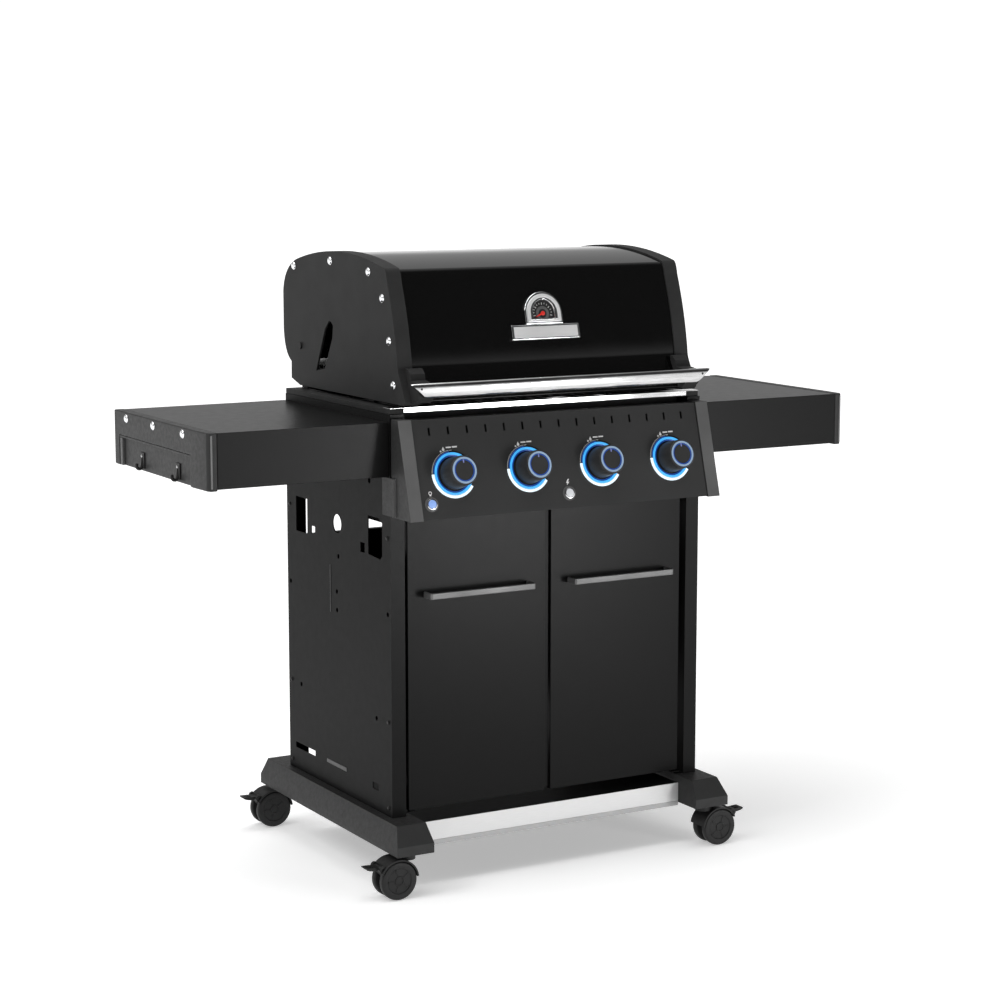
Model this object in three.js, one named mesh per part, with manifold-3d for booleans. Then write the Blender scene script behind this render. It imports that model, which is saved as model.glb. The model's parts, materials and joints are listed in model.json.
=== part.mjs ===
// A four-burner gas barbecue grill on a cabinet cart with two doors, two side shelves and four
// braked twin-wheel casters. X runs across the front, Y towards the back and Z up. The origin is
// on the floor, under the middle of the grill. All sizes are in millimetres.
import * as THREE from 'three';
import { ConvexGeometry } from 'three/addons/geometries/ConvexGeometry.js';
import { mergeVertices } from 'three/addons/utils/BufferGeometryUtils.js';
import Module from 'manifold-3d';

const wasm = await Module();
wasm.setup();

// ---- Driving dimensions ----
const GAP = 0.3; // left between pieces that touch
const SHEET = 2; // folded steel sheet

const HALF_WIDTH = 724; // to the outer face of a side shelf
const CABINET = { halfWidth: 353, front: -226, rear: 244, pillar: 28, top: 927.7 };
const RAIL = { top: 142.6, edge: 107, bottom: 87.8, inner: 308.7, outer: 370.9, front: -280, rear: 318 };
const RAIL_FLARE = { inner: 6, outer: 11.5, front: 23.7, rear: 14.3 }; // from the top to the lower edge
const BOTTOM_SHELF = { halfWidth: 302, front: -240, rear: 236, top: 130, lip: 82 };
const REAR_PANEL = { bottom: 215, top: 633, flange: 16 };
const FIREBOX = { halfWidth: 318, front: -195, rear: 238, knee: 775, bottom: 705, wall: 4 };
const RIM = { halfWidth: 352, front: -221, rear: 244, bottom: 928, top: 938 };
const TRIM = { lipHalfWidth: 322, lipBottom: 930, top: 940 };
const CONSOLE = { bottomFront: -302.4, topFront: -251.1, back: -228, bottom: 734.4, top: 918.2 };
const CONSOLE_HALF_WIDTH = 322.4;
const CONSOLE_TRIM = { outer: 351.1, proud: 3, wing: 355.3, wingRear: -196, wingTop: 808 };
const BURNER_X = [-246, -82, 82, 246]; // shared by burners, valves and knobs
const KNOB_UP = 83.7; // knob centres, up the slope of the console from its bottom edge
const BUTTON_UP = 28.7;
const BUTTON_X = { light: -300.9, igniter: 2 };
const VENT = { count: 15, pitch: 40.9, up: 167.5, width: 4.5, height: 15 };
const DOOR = { inner: 7, outer: 313, front: -218, depth: 16, bottom: 151, top: 729 };
const DOOR_HINGE = { x: 309, y: -212, pinRadius: 3 };
const DOOR_HANDLE = { inner: 45, outer: 279, front: -250, bar: 5, bottom: 569.5, top: 581.5 };
const SHELF = { inner: 353.3, outer: 702, front: -218.9, rear: 247.2, bottom: 809, top: 913.3 };
const SHELF_CAP = { inner: 702.3, bottom: 806, top: 914, front: -220, rear: 247.5 };
const CAP_RECESS = { depth: 6, front: -141, rear: 221, top: 866 };
const LID = { shellHalfWidth: 298.7, castingInner: 299, castingOuter: 330.2, endWall: 4.2, rim: 5 };
const LID_HINGE = { y: 216.5, z: 1026.1, pinRadius: 4 };
const LID_HANDLE = {
  front: -288.4, back: -276.3, bottom: 962.1, top: 990.3, halfTop: 337.8, halfBottom: 306.6,
};
const GAUGE = {
  y: -195.1, z: 1101, lean: 14.8, thickness: 9, domeRadius: 42, domeCentre: 5,
  plateHalfWidth: 76.5, plateLow: -47, plateHigh: -16,
};
const MANIFOLD = { radius: 10, behindPanel: 45, valveRadius: 11 };
const BURNER = { radius: 12.5, wall: 2, z: 800, front: -215, rear: 215 };
const TENT = { halfWidth: 42, bottom: 850.3, top: 884, thickness: 3 };
const GRID = {
  bottom: 899.3, height: 12, front: -188, rear: 231, inner: 2, outer: 311, bars: 12, bar: 7, tie: 9,
};
const TRAY = { halfWidth: 108, rim: 123, front: -150, rear: 240, bottom: 660, top: 690, rimDepth: 12 };
const RACK = { halfWidth: 270, front: -20, rear: 122, deck: 1045, wire: 3, lines: 6, legInset: 20 };
const CASTER = { x: 372, frontY: -269, rearY: 308, radius: 38, halfWidth: 24, swivelInset: 27 };
const CASTER_STEM = { radius: 5.5, reach: 31.2 }; // reach is how far it may go up into a rail

// ---- Finishes ----
function finish(color, roughness, metalness) {
  return new THREE.MeshStandardMaterial({ color, roughness, metalness });
}

const FINISH = {
  cabinetPaint: finish(0x26272a, 0.5, 0.2),
  enamel: finish(0x0b0b0c, 0.12, 0.1),
  casting: finish(0x38393b, 0.7, 0.3),
  chrome: finish(0xe6e8ea, 0.12, 1),
  silver: finish(0xd9dbdd, 0.4, 0.6),
  console: finish(0x36373a, 0.45, 0.3),
  trim: finish(0x5c5d60, 0.5, 0.2),
  plastic: finish(0x3a3b3d, 0.65, 0),
  knob: finish(0x34353a, 0.4, 0.1),
  steel: finish(0x9a9c9f, 0.4, 0.9),
  brass: finish(0xb08d4a, 0.35, 0.9),
  castIron: finish(0x1f1f20, 0.8, 0.4),
  handle: finish(0x6a6b6e, 0.4, 0.7),
};

const grill = new THREE.Group();

function add(name, geometry, material, parent = grill) {
  const mesh = new THREE.Mesh(geometry, material);
  mesh.name = name;
  parent.add(mesh);
  return mesh;
}

// ---- Solids: closed geometries joined and cut ----
// Corners are rounded to a micrometre, so that faces meant to be level with each other are.
const rounded = (positions) => Float32Array.from(positions, (value) => Math.round(value * 1000) / 1000);

function solidOf(geometry) {
  const bare = geometry.clone();
  bare.deleteAttribute('normal');
  bare.deleteAttribute('uv');
  const merged = mergeVertices(bare, 1e-4);
  const mesh = new wasm.Mesh({
    numProp: 3,
    vertProperties: rounded(merged.attributes.position.array),
    triVerts: new Uint32Array(merged.index.array),
  });
  const solid = new wasm.Manifold(mesh);
  if (solid.volume() > 0) return solid;
  mesh.triVerts = mesh.triVerts.map((_, i, all) => all[i - (i % 3) + 2 - (i % 3)]);
  return new wasm.Manifold(mesh);
}

function geometryOf(solid) {
  const mesh = solid.getMesh();
  const geometry = new THREE.BufferGeometry();
  const step = mesh.numProp;
  const positions = new Float32Array(mesh.numVert * 3);
  for (let i = 0; i < mesh.numVert; i += 1) {
    for (let k = 0; k < 3; k += 1) positions[i * 3 + k] = mesh.vertProperties[i * step + k];
  }
  geometry.setAttribute('position', new THREE.BufferAttribute(positions, 3));
  geometry.setIndex(new THREE.BufferAttribute(new Uint32Array(mesh.triVerts), 1));
  geometry.computeVertexNormals();
  return geometry;
}

const join = (...pieces) => geometryOf(pieces.map(solidOf).reduce((sum, next) => sum.add(next)));

function cut(geometry, ...tools) {
  return geometryOf(tools.map(solidOf).reduce((rest, tool) => rest.subtract(tool), solidOf(geometry)));
}

// ---- Basic shapes, each placed by its limits along X, Y and Z ----
function box([x0, x1], [y0, y1], [z0, z1]) {
  const geometry = new THREE.BoxGeometry(Math.abs(x1 - x0), y1 - y0, z1 - z0);
  return geometry.translate((x0 + x1) / 2, (y0 + y1) / 2, (z0 + z1) / 2);
}

const shapeOf = (points) => new THREE.Shape(points.map(([a, b]) => new THREE.Vector2(a, b)));

function extrude(shape, depth) {
  return new THREE.ExtrudeGeometry(shape, { depth, bevelEnabled: false, curveSegments: 6 });
}

// Extrudes an outline of (y, z) points along X.
function alongX(shape, x0, x1) {
  const [low, high] = [Math.min(x0, x1), Math.max(x0, x1)];
  const axes = new THREE.Matrix4().makeBasis(
    new THREE.Vector3(0, 1, 0),
    new THREE.Vector3(0, 0, 1),
    new THREE.Vector3(1, 0, 0),
  );
  return extrude(shape, high - low).applyMatrix4(axes).translate(low, 0, 0);
}

// Extrudes an outline of (x, z) points along Y.
function alongY(shape, y0, y1) {
  return extrude(shape, y1 - y0).rotateX(Math.PI / 2).translate(0, y1, 0);
}

function rod(axis, radius, from, to, [a, b], segments = 20) {
  const geometry = new THREE.CylinderGeometry(radius, radius, to - from, segments);
  const middle = (from + to) / 2;
  if (axis === 'x') return geometry.rotateZ(Math.PI / 2).translate(middle, a, b);
  if (axis === 'y') return geometry.translate(a, middle, b);
  return geometry.rotateX(Math.PI / 2).translate(a, b, middle);
}

// Turns a profile of (radius, distance along +Y) points about the Y axis.
function turned(profile, segments = 24) {
  const points = profile.map(([r, y]) => new THREE.Vector2(r, y));
  return geometryOf(solidOf(new THREE.LatheGeometry(points, segments)));
}

// Moves every corner of a closed outline inwards, keeping its sides parallel.
function inset(points, distance) {
  const area = points.reduce((sum, [x, y], i) => {
    const [u, v] = points[(i + 1) % points.length];
    return sum + x * v - u * y;
  }, 0);
  const side = Math.sign(area) * distance;
  return points.map(([x, y], i) => {
    const [px, py] = points[(i + points.length - 1) % points.length];
    const [nx, ny] = points[(i + 1) % points.length];
    const before = new THREE.Vector2(x - px, y - py).normalize();
    const after = new THREE.Vector2(nx - x, ny - y).normalize();
    const miter = side / (1 + before.dot(after));
    return [x - (before.y + after.y) * miter, y + (before.x + after.x) * miter];
  });
}

const SIDES = [
  { name: 'left', sign: -1 },
  { name: 'right', sign: 1 },
];

// ---- Base: two moulded rails and the bottom shelf between them ----
function baseRail(sign) {
  const corners = [];
  const ring = (z, flare) => {
    for (const x of [RAIL.inner - flare * RAIL_FLARE.inner, RAIL.outer + flare * RAIL_FLARE.outer]) {
      for (const y of [RAIL.front - flare * RAIL_FLARE.front, RAIL.rear + flare * RAIL_FLARE.rear]) {
        corners.push(new THREE.Vector3(sign * x, y, z));
      }
    }
  };
  ring(RAIL.top, 0);
  ring(RAIL.edge, 1);
  ring(RAIL.bottom, 1);
  const socketX = sign * (CASTER.x - CASTER.swivelInset);
  const depth = [RAIL.bottom - 1, RAIL.bottom + CASTER_STEM.reach];
  const sockets = [CASTER.frontY, CASTER.rearY].map((y) => (
    rod('z', CASTER_STEM.radius + 1, ...depth, [socketX, y], 16)));
  return cut(new ConvexGeometry(corners), ...sockets);
}

function bottomShelf() {
  const { halfWidth, front, rear, top, lip } = BOTTOM_SHELF;
  const across = [-halfWidth, halfWidth];
  return join(
    box(across, [front, rear], [top - SHEET, top]),
    box(across, [front, front + SHEET], [lip, top]),
    box(across, [rear - SHEET, rear], [lip, top]),
    box(across, [front, front + 14], [lip, lip + SHEET]),
  );
}

// ---- Cabinet: side panels with folded pillars, and the low rear panel ----
const PANEL_HOLES = [
  { y: 3, z: 623 }, { y: 11, z: 551 }, { y: 11, z: 513 }, { y: -212, z: 542 }, { y: 230, z: 538 },
  { y: 184, z: 328 }, { y: -161, z: 328 }, { y: -137, z: 793, r: 6 }, { y: 7.6, z: 688.5, r: 19 },
];
const PANEL_WINDOWS = [
  { y: [146, 200], z: [648, 720] },
  { y: [110, 128], z: [652, 668] },
  { y: [-115, -96], z: [647, 667] },
  { y: [120, 214], z: [188, 200] },
  { y: [-168, -142], z: [184, 197] },
];
const HAND_HOLE = [[-130, 648], [-182, 644], [-190, 652], [-190, 716], [-178, 724], [-130, 724]];

const REAR_LIP = 40;
const PILLAR_DEPTH = 30;

function sidePanel(sign) {
  const { halfWidth, front, rear, pillar, top } = CABINET;
  const bottom = RAIL.top + GAP;
  const inside = halfWidth - SHEET;
  const post = inside - pillar;
  const lip = inside - REAR_LIP;
  const fold = [
    [halfWidth, front], [halfWidth, rear], [lip, rear], [lip, rear - SHEET],
    [inside, rear - SHEET], [inside, front + SHEET], [post + SHEET, front + SHEET],
    [post + SHEET, front + PILLAR_DEPTH], [post, front + PILLAR_DEPTH], [post, front],
  ].map(([x, y]) => [sign * x, y]);
  const sheet = extrude(shapeOf(fold), top - bottom).translate(0, 0, bottom);
  const folded = join(sheet, ...hingeTabs(sign));
  const through = [sign * (inside - 1), sign * (halfWidth + 1)].sort((a, b) => a - b);
  const holes = PANEL_HOLES.map(({ y, z, r = 5 }) => rod('x', r, ...through, [y, z], r > 10 ? 28 : 10));
  const windows = PANEL_WINDOWS.map(({ y, z }) => box(through, y, z));
  const handHole = alongX(shapeOf(HAND_HOLE), ...through);
  return cut(folded, ...holes, ...windows, handHole, ...hingeTabHoles(sign));
}

// Two tabs on each pillar carry the pins of a door.
const HINGE_TABS = [[DOOR.bottom - 4.5, DOOR.bottom - 2], [DOOR.top + 1.5, DOOR.top + 4]];
const HINGE_TAB_HALF = 8;

function hingeTabs(sign) {
  const reach = [sign * (DOOR_HINGE.x - 9), sign * (CABINET.halfWidth - CABINET.pillar)];
  const y = [DOOR_HINGE.y - HINGE_TAB_HALF, DOOR_HINGE.y + HINGE_TAB_HALF];
  return HINGE_TABS.map((z) => box(reach, y, z));
}

function hingeTabHoles(sign) {
  const centre = [sign * DOOR_HINGE.x, DOOR_HINGE.y];
  const radius = DOOR_HINGE.pinRadius + 0.4;
  return HINGE_TABS.map(([low, high]) => rod('z', radius, low - 1, high + 1, centre, 16));
}

function rearPanel() {
  const { bottom, top, flange } = REAR_PANEL;
  const halfWidth = CABINET.halfWidth - SHEET - GAP;
  const back = CABINET.rear - SHEET - GAP;
  const across = [-halfWidth, halfWidth];
  return join(
    box(across, [back - SHEET, back], [bottom, top]),
    box(across, [back - flange, back], [top - SHEET, top]),
    box(across, [back - flange, back], [bottom, bottom + SHEET]),
  );
}

// ---- Doors: the left one carries the strip that covers the gap between them ----
function door(sign) {
  const { inner, outer, front, depth, bottom, top } = DOOR;
  const x = (a, b) => [sign * a, sign * b];
  const hinge = [sign * DOOR_HINGE.x, DOOR_HINGE.y];
  const pin = (low, high) => rod('z', DOOR_HINGE.pinRadius, low, high, hinge, 12);
  const pan = cut(
    box(x(inner, outer), [front, front + depth], [bottom, top]),
    box(x(inner + SHEET, outer - SHEET), [front + SHEET, front + depth + 1], [bottom + SHEET, top - SHEET]),
  );
  const coverStrip = box([-inner - 1, inner - SHEET], [front + 6, front + 6 + SHEET], [bottom + 4, top - 4]);
  const pieces = [pan, pin(HINGE_TABS[0][0], bottom + 1), pin(top - 1, HINGE_TABS[1][1])];
  return sign < 0 ? join(...pieces, coverStrip) : join(...pieces);
}

function doorHandle(sign) {
  const { inner, outer, front, bar, bottom, top } = DOOR_HANDLE;
  const back = DOOR.front - GAP;
  const [a, b] = sign > 0 ? [inner, outer] : [-outer, -inner];
  const outline = shapeOf([
    [a, back], [a, front + 3], [a + 3, front], [b - 3, front], [b, front + 3], [b, back],
    [b - bar, back], [b - bar, front + bar], [a + bar, front + bar], [a + bar, back],
  ]);
  return extrude(outline, top - bottom).translate(0, 0, bottom);
}

// ---- Firebox: a trough with a rim, ledges, tray runners and hinge ears ----
function fireboxOutline() {
  const { front, rear, knee, bottom } = FIREBOX;
  return [[front, 929], [front, knee], [front + 45, bottom], [rear - 48, bottom], [rear, knee], [rear, 929]];
}

function firebox() {
  const { halfWidth, front, rear, bottom, wall } = FIREBOX;
  const shell = alongX(shapeOf(fireboxOutline()), -halfWidth, halfWidth);
  const rim = box([-RIM.halfWidth, RIM.halfWidth], [RIM.front, RIM.rear], [RIM.bottom, RIM.top]);
  const hollow = inset([...fireboxOutline().slice(1, 5), [rear, 990], [front, 990]], wall);
  const inside = alongX(shapeOf(hollow), wall - halfWidth, halfWidth - wall);
  const greaseOutlet = box([-50, 50], [-30, 30], [bottom - 2, bottom + wall + 2]);
  const airHoles = BURNER_X.map((x) => (
    rod('y', BURNER.radius + 0.8, front - 1, front + wall + 1, [x, BURNER.z], 20)));
  const body = cut(join(shell, rim), inside, greaseOutlet, ...airHoles);
  return join(body, ...fireboxLedges(), ...trayRunners(), ...hingeEars());
}

function fireboxLedges() {
  const { halfWidth, front, rear, wall } = FIREBOX;
  const across = [1 - halfWidth, halfWidth - 1];
  const levels = [GRID.bottom - GAP, TENT.bottom - GAP];
  return levels.flatMap((z) => [
    box(across, [front + 1, front + wall + 10], [z - 4, z]),
    box(across, [rear - wall - 10, rear - 1], [z - 4, z]),
  ]);
}

function trayRunners() {
  const y = [FIREBOX.front + 46, FIREBOX.rear - 49];
  const lip = TRAY.top - SHEET - GAP;
  return SIDES.flatMap(({ sign }) => [
    box([sign * (TRAY.rim + 2), sign * (TRAY.rim + 5)], y, [lip - SHEET, FIREBOX.bottom + 1]),
    box([sign * (TRAY.halfWidth + 3), sign * (TRAY.rim + 5)], y, [lip - SHEET, lip]),
  ]);
}

function hingeEars() {
  const { y, z, pinRadius } = LID_HINGE;
  const headStart = LID.castingOuter + GAP;
  return SIDES.flatMap(({ sign }) => {
    const span = (a, b) => (sign > 0 ? [a, b] : [-b, -a]);
    return [
      box([sign * 317, sign * 322], [y - 13, y + 13], [RIM.top - 1, z]),
      rod('x', 13, ...span(317, 322), [y, z], 20),
      rod('x', pinRadius, ...span(319, headStart + 1), [y, z], 16),
      rod('x', 7, ...span(headStart, headStart + 3), [y, z], 20),
    ];
  });
}

function frontTrim() {
  const front = RIM.front - GAP - SHEET;
  const bottom = RIM.top + GAP;
  return join(
    box([-RIM.halfWidth, RIM.halfWidth], [front, RIM.front + 24], [bottom, TRIM.top]),
    box([-TRIM.lipHalfWidth, TRIM.lipHalfWidth], [front, RIM.front - GAP], [TRIM.lipBottom, TRIM.top]),
  );
}

// ---- Console: a slanted sheet whose own frame has Z up the slope and -Y out of the face ----
const CONSOLE_LEAN = Math.atan2(CONSOLE.topFront - CONSOLE.bottomFront, CONSOLE.top - CONSOLE.bottom);
const consoleFace = new THREE.Group();
consoleFace.position.set(0, CONSOLE.bottomFront, CONSOLE.bottom);
consoleFace.rotation.x = -CONSOLE_LEAN;
consoleFace.updateMatrix();
grill.add(consoleFace);

const onFace = (geometry) => geometry.applyMatrix4(consoleFace.matrix);

function consolePanel() {
  const { bottomFront, topFront, back, bottom, top } = CONSOLE;
  const slope = (topFront - bottomFront) / (top - bottom);
  const inner = SHEET / Math.cos(CONSOLE_LEAN) + SHEET * slope;
  const profile = shapeOf([
    [back, bottom], [bottomFront, bottom], [topFront, top], [back, top], [back, top - SHEET],
    [topFront + inner - 2 * SHEET * slope, top - SHEET], [bottomFront + inner, bottom + SHEET],
    [back, bottom + SHEET],
  ]);
  const sheet = alongX(profile, -CONSOLE_HALF_WIDTH, CONSOLE_HALF_WIDTH);
  const through = [-SHEET - 2, SHEET + 2];
  const hole = (x, up, radius) => onFace(rod('y', radius, ...through, [x, up], 24));
  const stemHoles = BURNER_X.map((x) => hole(x, KNOB_UP, 8));
  const buttonHoles = Object.values(BUTTON_X).map((x) => hole(x, BUTTON_UP, 12));
  const vents = Array.from({ length: VENT.count }, (_, i) => {
    const x = (i - (VENT.count - 1) / 2) * VENT.pitch;
    const tall = [VENT.up - VENT.height / 2, VENT.up + VENT.height / 2];
    return onFace(box([x - VENT.width / 2, x + VENT.width / 2], through, tall));
  });
  return cut(sheet, ...stemHoles, ...buttonHoles, ...vents);
}

function consoleTrim(sign) {
  const { bottomFront, topFront, bottom, top } = CONSOLE;
  const { outer, proud, wing, wingRear, wingTop } = CONSOLE_TRIM;
  const back = CABINET.front - GAP;
  const inner = CONSOLE_HALF_WIDTH + GAP;
  const [low, high] = [bottom - 1.5, top + 1.5];
  const outline = shapeOf([[back, low], [bottomFront - proud, low], [topFront - proud, high], [back, high]]);
  const z = [bottom, wingTop];
  return join(
    alongX(outline, sign * inner, sign * outer),
    box([sign * (outer - 3), sign * wing], [back - 20, back], z),
    box([sign * (wing - SHEET), sign * wing], [back - 2, wingRear], z),
  );
}

function button() {
  return turned([[0, -4], [9, -4], [11, -2.5], [11, 9], [0, 9]], 18);
}

// ---- Gas train: manifold with valves, stems and knobs ----
function gasManifold() {
  const { radius, behindPanel, valveRadius } = MANIFOLD;
  const axis = new THREE.Vector3(0, behindPanel, KNOB_UP).applyMatrix4(consoleFace.matrix);
  const inletX = 305;
  const drop = -211;
  const pipe = rod('x', radius, -290, inletX + 8, [axis.y, axis.z], 14);
  const valves = BURNER_X.map((x) => onFace(rod('y', valveRadius, 8, behindPanel, [x, KNOB_UP], 14)));
  const spuds = BURNER_X.map((x) => rod('y', 5, axis.y, BURNER.front + 8, [x, BURNER.z], 8));
  const inlet = [
    rod('y', 8, axis.y, drop, [inletX, axis.z], 16),
    rod('z', 8, 762, axis.z + 8, [inletX, drop], 16),
    rod('z', 10, 752, 764, [inletX, drop], 6),
  ];
  const bores = BURNER_X.map((x) => onFace(rod('y', 4.5, 7, 17, [x, KNOB_UP], 12)));
  return cut(join(pipe, ...valves, ...spuds, ...inlet), ...bores);
}

const valveStem = () => turned([[0, -32], [4, -32], [4, 12], [0, 12]], 12);

function knob() {
  return turned([
    [0, -47], [26.5, -47], [28.5, -44], [30, -12], [31, -6], [4.4, -6], [4.4, -33], [0, -33],
  ], 24);
}

// ---- Cooking system ----
function burner(x) {
  const { radius, wall, z, front, rear } = BURNER;
  const tube = turned([
    [radius, front], [radius, rear], [0, rear], [0, rear - wall],
    [radius - wall, rear - wall], [radius - wall, front], [radius, front],
  ], 20);
  return tube.translate(x, 0, z);
}

function heatTent(x) {
  const { halfWidth, bottom, top, thickness } = TENT;
  const inner = halfWidth - thickness;
  const outline = shapeOf([
    [x - halfWidth, bottom], [x, top], [x + halfWidth, bottom],
    [x + inner, bottom], [x, top - thickness], [x - inner, bottom],
  ]);
  return alongY(outline, FIREBOX.front + 8, FIREBOX.rear - 8);
}

function cookingGrid(sign) {
  const { bottom, height, front, rear, inner, outer, bars, bar, tie } = GRID;
  const top = bottom + height;
  const pitch = (outer - inner - bar) / (bars - 1);
  const lengthwise = Array.from({ length: bars }, (_, i) => {
    const x = inner + i * pitch;
    return box([sign * x, sign * (x + bar)], [front, rear], [bottom, top]);
  });
  const crosswise = [front, (front + rear - tie) / 2, rear - tie].map((y) => (
    box([sign * inner, sign * outer], [y, y + tie], [bottom, top - 3])));
  return join(...lengthwise, ...crosswise);
}

function dripTray() {
  const { halfWidth, rim, front, rear, bottom, top, rimDepth } = TRAY;
  const body = join(
    box([-halfWidth, halfWidth], [front + rimDepth, rear - rimDepth], [bottom, top]),
    box([-rim, rim], [front, rear], [top - SHEET, top]),
    box([-50, 50], [rear - 1, rear + 3], [top - 14, top]),
  );
  const inside = rimDepth + SHEET;
  return cut(body, box(
    [SHEET - halfWidth, halfWidth - SHEET],
    [front + inside, rear - inside],
    [bottom + SHEET, top + 1],
  ));
}

function warmingRack() {
  const { halfWidth, front, rear, deck, wire, lines, legInset } = RACK;
  const foot = GRID.bottom + GRID.height + GAP;
  const ends = [-halfWidth, halfWidth];
  const pitch = (rear - front - 2 * wire) / (lines - 1);
  const rods = Array.from({ length: lines }, (_, i) => {
    const y = front + wire + i * pitch;
    return rod('x', wire, -halfWidth, halfWidth, [y, deck], 6);
  });
  const sides = ends.map((x) => rod('y', wire, front, rear, [x, deck], 6));
  const legs = ends.flatMap((x) => (
    [front + legInset, rear - legInset].map((y) => rod('z', wire, foot, deck, [x, y], 6))));
  return join(...rods, ...sides, ...legs);
}

// ---- Side shelves ----
function shelf(sign) {
  const { inner, outer, front, rear, bottom, top } = SHELF;
  const hollow = box(
    [sign * (inner + SHEET), sign * (outer - SHEET)],
    [front + SHEET, rear - SHEET],
    [bottom - 1, top - SHEET],
  );
  return cut(box([sign * inner, sign * outer], [front, rear], [bottom, top]), hollow);
}

function shelfCap(sign) {
  const { inner, bottom, top, front, rear } = SHELF_CAP;
  const recess = CAP_RECESS;
  const outline = shapeOf([
    [sign * inner, front], [sign * (HALF_WIDTH - 8), front], [sign * (HALF_WIDTH - 3), front + 7],
    [sign * HALF_WIDTH, front + 60], [sign * HALF_WIDTH, rear], [sign * inner, rear],
  ]);
  const body = extrude(outline, top - bottom).translate(0, 0, bottom);
  return cut(body, box(
    [sign * (HALF_WIDTH - recess.depth), sign * (HALF_WIDTH + 1)],
    [recess.front, recess.rear],
    [bottom - 1, recess.top],
  ));
}

// ---- Lid: two end castings, an enamelled shell, a handle and a temperature gauge ----
function lidOutline() {
  const outline = new THREE.Shape();
  outline.moveTo(222, 945);
  outline.lineTo(263, 957);
  outline.lineTo(262.5, 991.5);
  outline.quadraticCurveTo(296, 1006, 299, 1060);
  outline.lineTo(299, 1134);
  outline.quadraticCurveTo(293, 1184, 233, 1202);
  outline.quadraticCurveTo(36, 1248, -161, 1200.5);
  outline.quadraticCurveTo(-170, 1196, -174, 1174);
  outline.quadraticCurveTo(-205, 1095, -215, 1010.6);
  outline.lineTo(-247, 951.5);
  outline.lineTo(-240, 945);
  return outline.getPoints(7).map(({ x, y }) => [x, y]);
}

const LID_OUTLINE = lidOutline();

const LID_VENT = [[82, 1085], [64, 1077], [68, 1051], [103, 988], [144, 981], [101, 1068]];

function endCasting(sign) {
  const { castingInner, castingOuter, endWall, rim } = LID;
  const x = (a, b) => [sign * a, sign * b].sort((low, high) => low - high);
  const body = alongX(shapeOf(LID_OUTLINE), ...x(castingInner, castingOuter));
  const pocket = alongX(shapeOf(inset(LID_OUTLINE, rim)), ...x(castingInner - 1, castingOuter - endWall));
  const hingeNotch = box(x(castingInner - 1, castingOuter - endWall), [140, 310], [940, 1045]);
  const through = x(castingOuter - 9, castingOuter + 1);
  const pivot = rod('x', LID_HINGE.pinRadius + 0.5, ...through, [LID_HINGE.y, LID_HINGE.z], 16);
  const vent = alongX(shapeOf(LID_VENT), ...through);
  return join(cut(body, pocket, hingeNotch, pivot, vent), handleLug(sign));
}

function handleLug(sign) {
  const back = LID_HANDLE.back + GAP;
  const outline = shapeOf([
    [-212, 1012], [-262, 1001], [back, 990], [back, 962], [-262, 950], [-240, 950],
  ]);
  return alongX(outline, sign * 305, sign * LID.castingOuter);
}

function lidShell() {
  const { shellHalfWidth } = LID;
  const past = shellHalfWidth + 1;
  const outer = alongX(shapeOf(inset(LID_OUTLINE, 3)), -shellHalfWidth, shellHalfWidth);
  const inner = alongX(shapeOf(inset(LID_OUTLINE, 3 + SHEET)), -past, past);
  const mouth = box([-past, past], [-236, 214], [940, 953]);
  return cut(outer, inner, mouth);
}

function lidHandle() {
  const { front, back, bottom, top, halfTop, halfBottom } = LID_HANDLE;
  const middle = (bottom + top) / 2;
  const bar = alongX(shapeOf([
    [back, bottom + 2], [front + 3, bottom], [front, middle - 6], [front, middle + 6],
    [front + 3, top], [back, top - 2],
  ]), -halfTop, halfTop);
  const ends = [1, -1].map((sign) => alongY(shapeOf([
    [sign * halfBottom, bottom - 1], [sign * (halfTop + 2), bottom - 1], [sign * (halfTop + 2), top + 1],
    [sign * halfTop, top],
  ]), front - 1, back + 1));
  return cut(bar, ...ends);
}

const gaugeFace = new THREE.Group();
gaugeFace.position.set(0, GAUGE.y, GAUGE.z);
gaugeFace.rotation.x = THREE.MathUtils.degToRad(-GAUGE.lean);
grill.add(gaugeFace);

function temperatureGauge() {
  const { domeRadius, domeCentre, plateHalfWidth, plateLow, plateHigh, thickness } = GAUGE;
  const outline = new THREE.Shape();
  outline.moveTo(-plateHalfWidth, plateLow);
  outline.lineTo(plateHalfWidth, plateLow);
  outline.lineTo(plateHalfWidth, plateHigh);
  outline.lineTo(domeRadius, plateHigh);
  outline.lineTo(domeRadius, domeCentre);
  outline.absarc(0, domeCentre, domeRadius, 0, Math.PI, false);
  outline.lineTo(-domeRadius, plateHigh);
  outline.lineTo(-plateHalfWidth, plateHigh);
  return alongY(outline, -thickness, -GAP);
}

// ---- Casters: hood with stem, twin wheel and brake pedal ----
const PEDAL = { out: 34, up: 27, hub: 5, pin: 2, tip: 65, halfWidth: 12 };
const WELL_WALL = 8.7; // half the thickness of the hood's web between the two wheels

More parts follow.
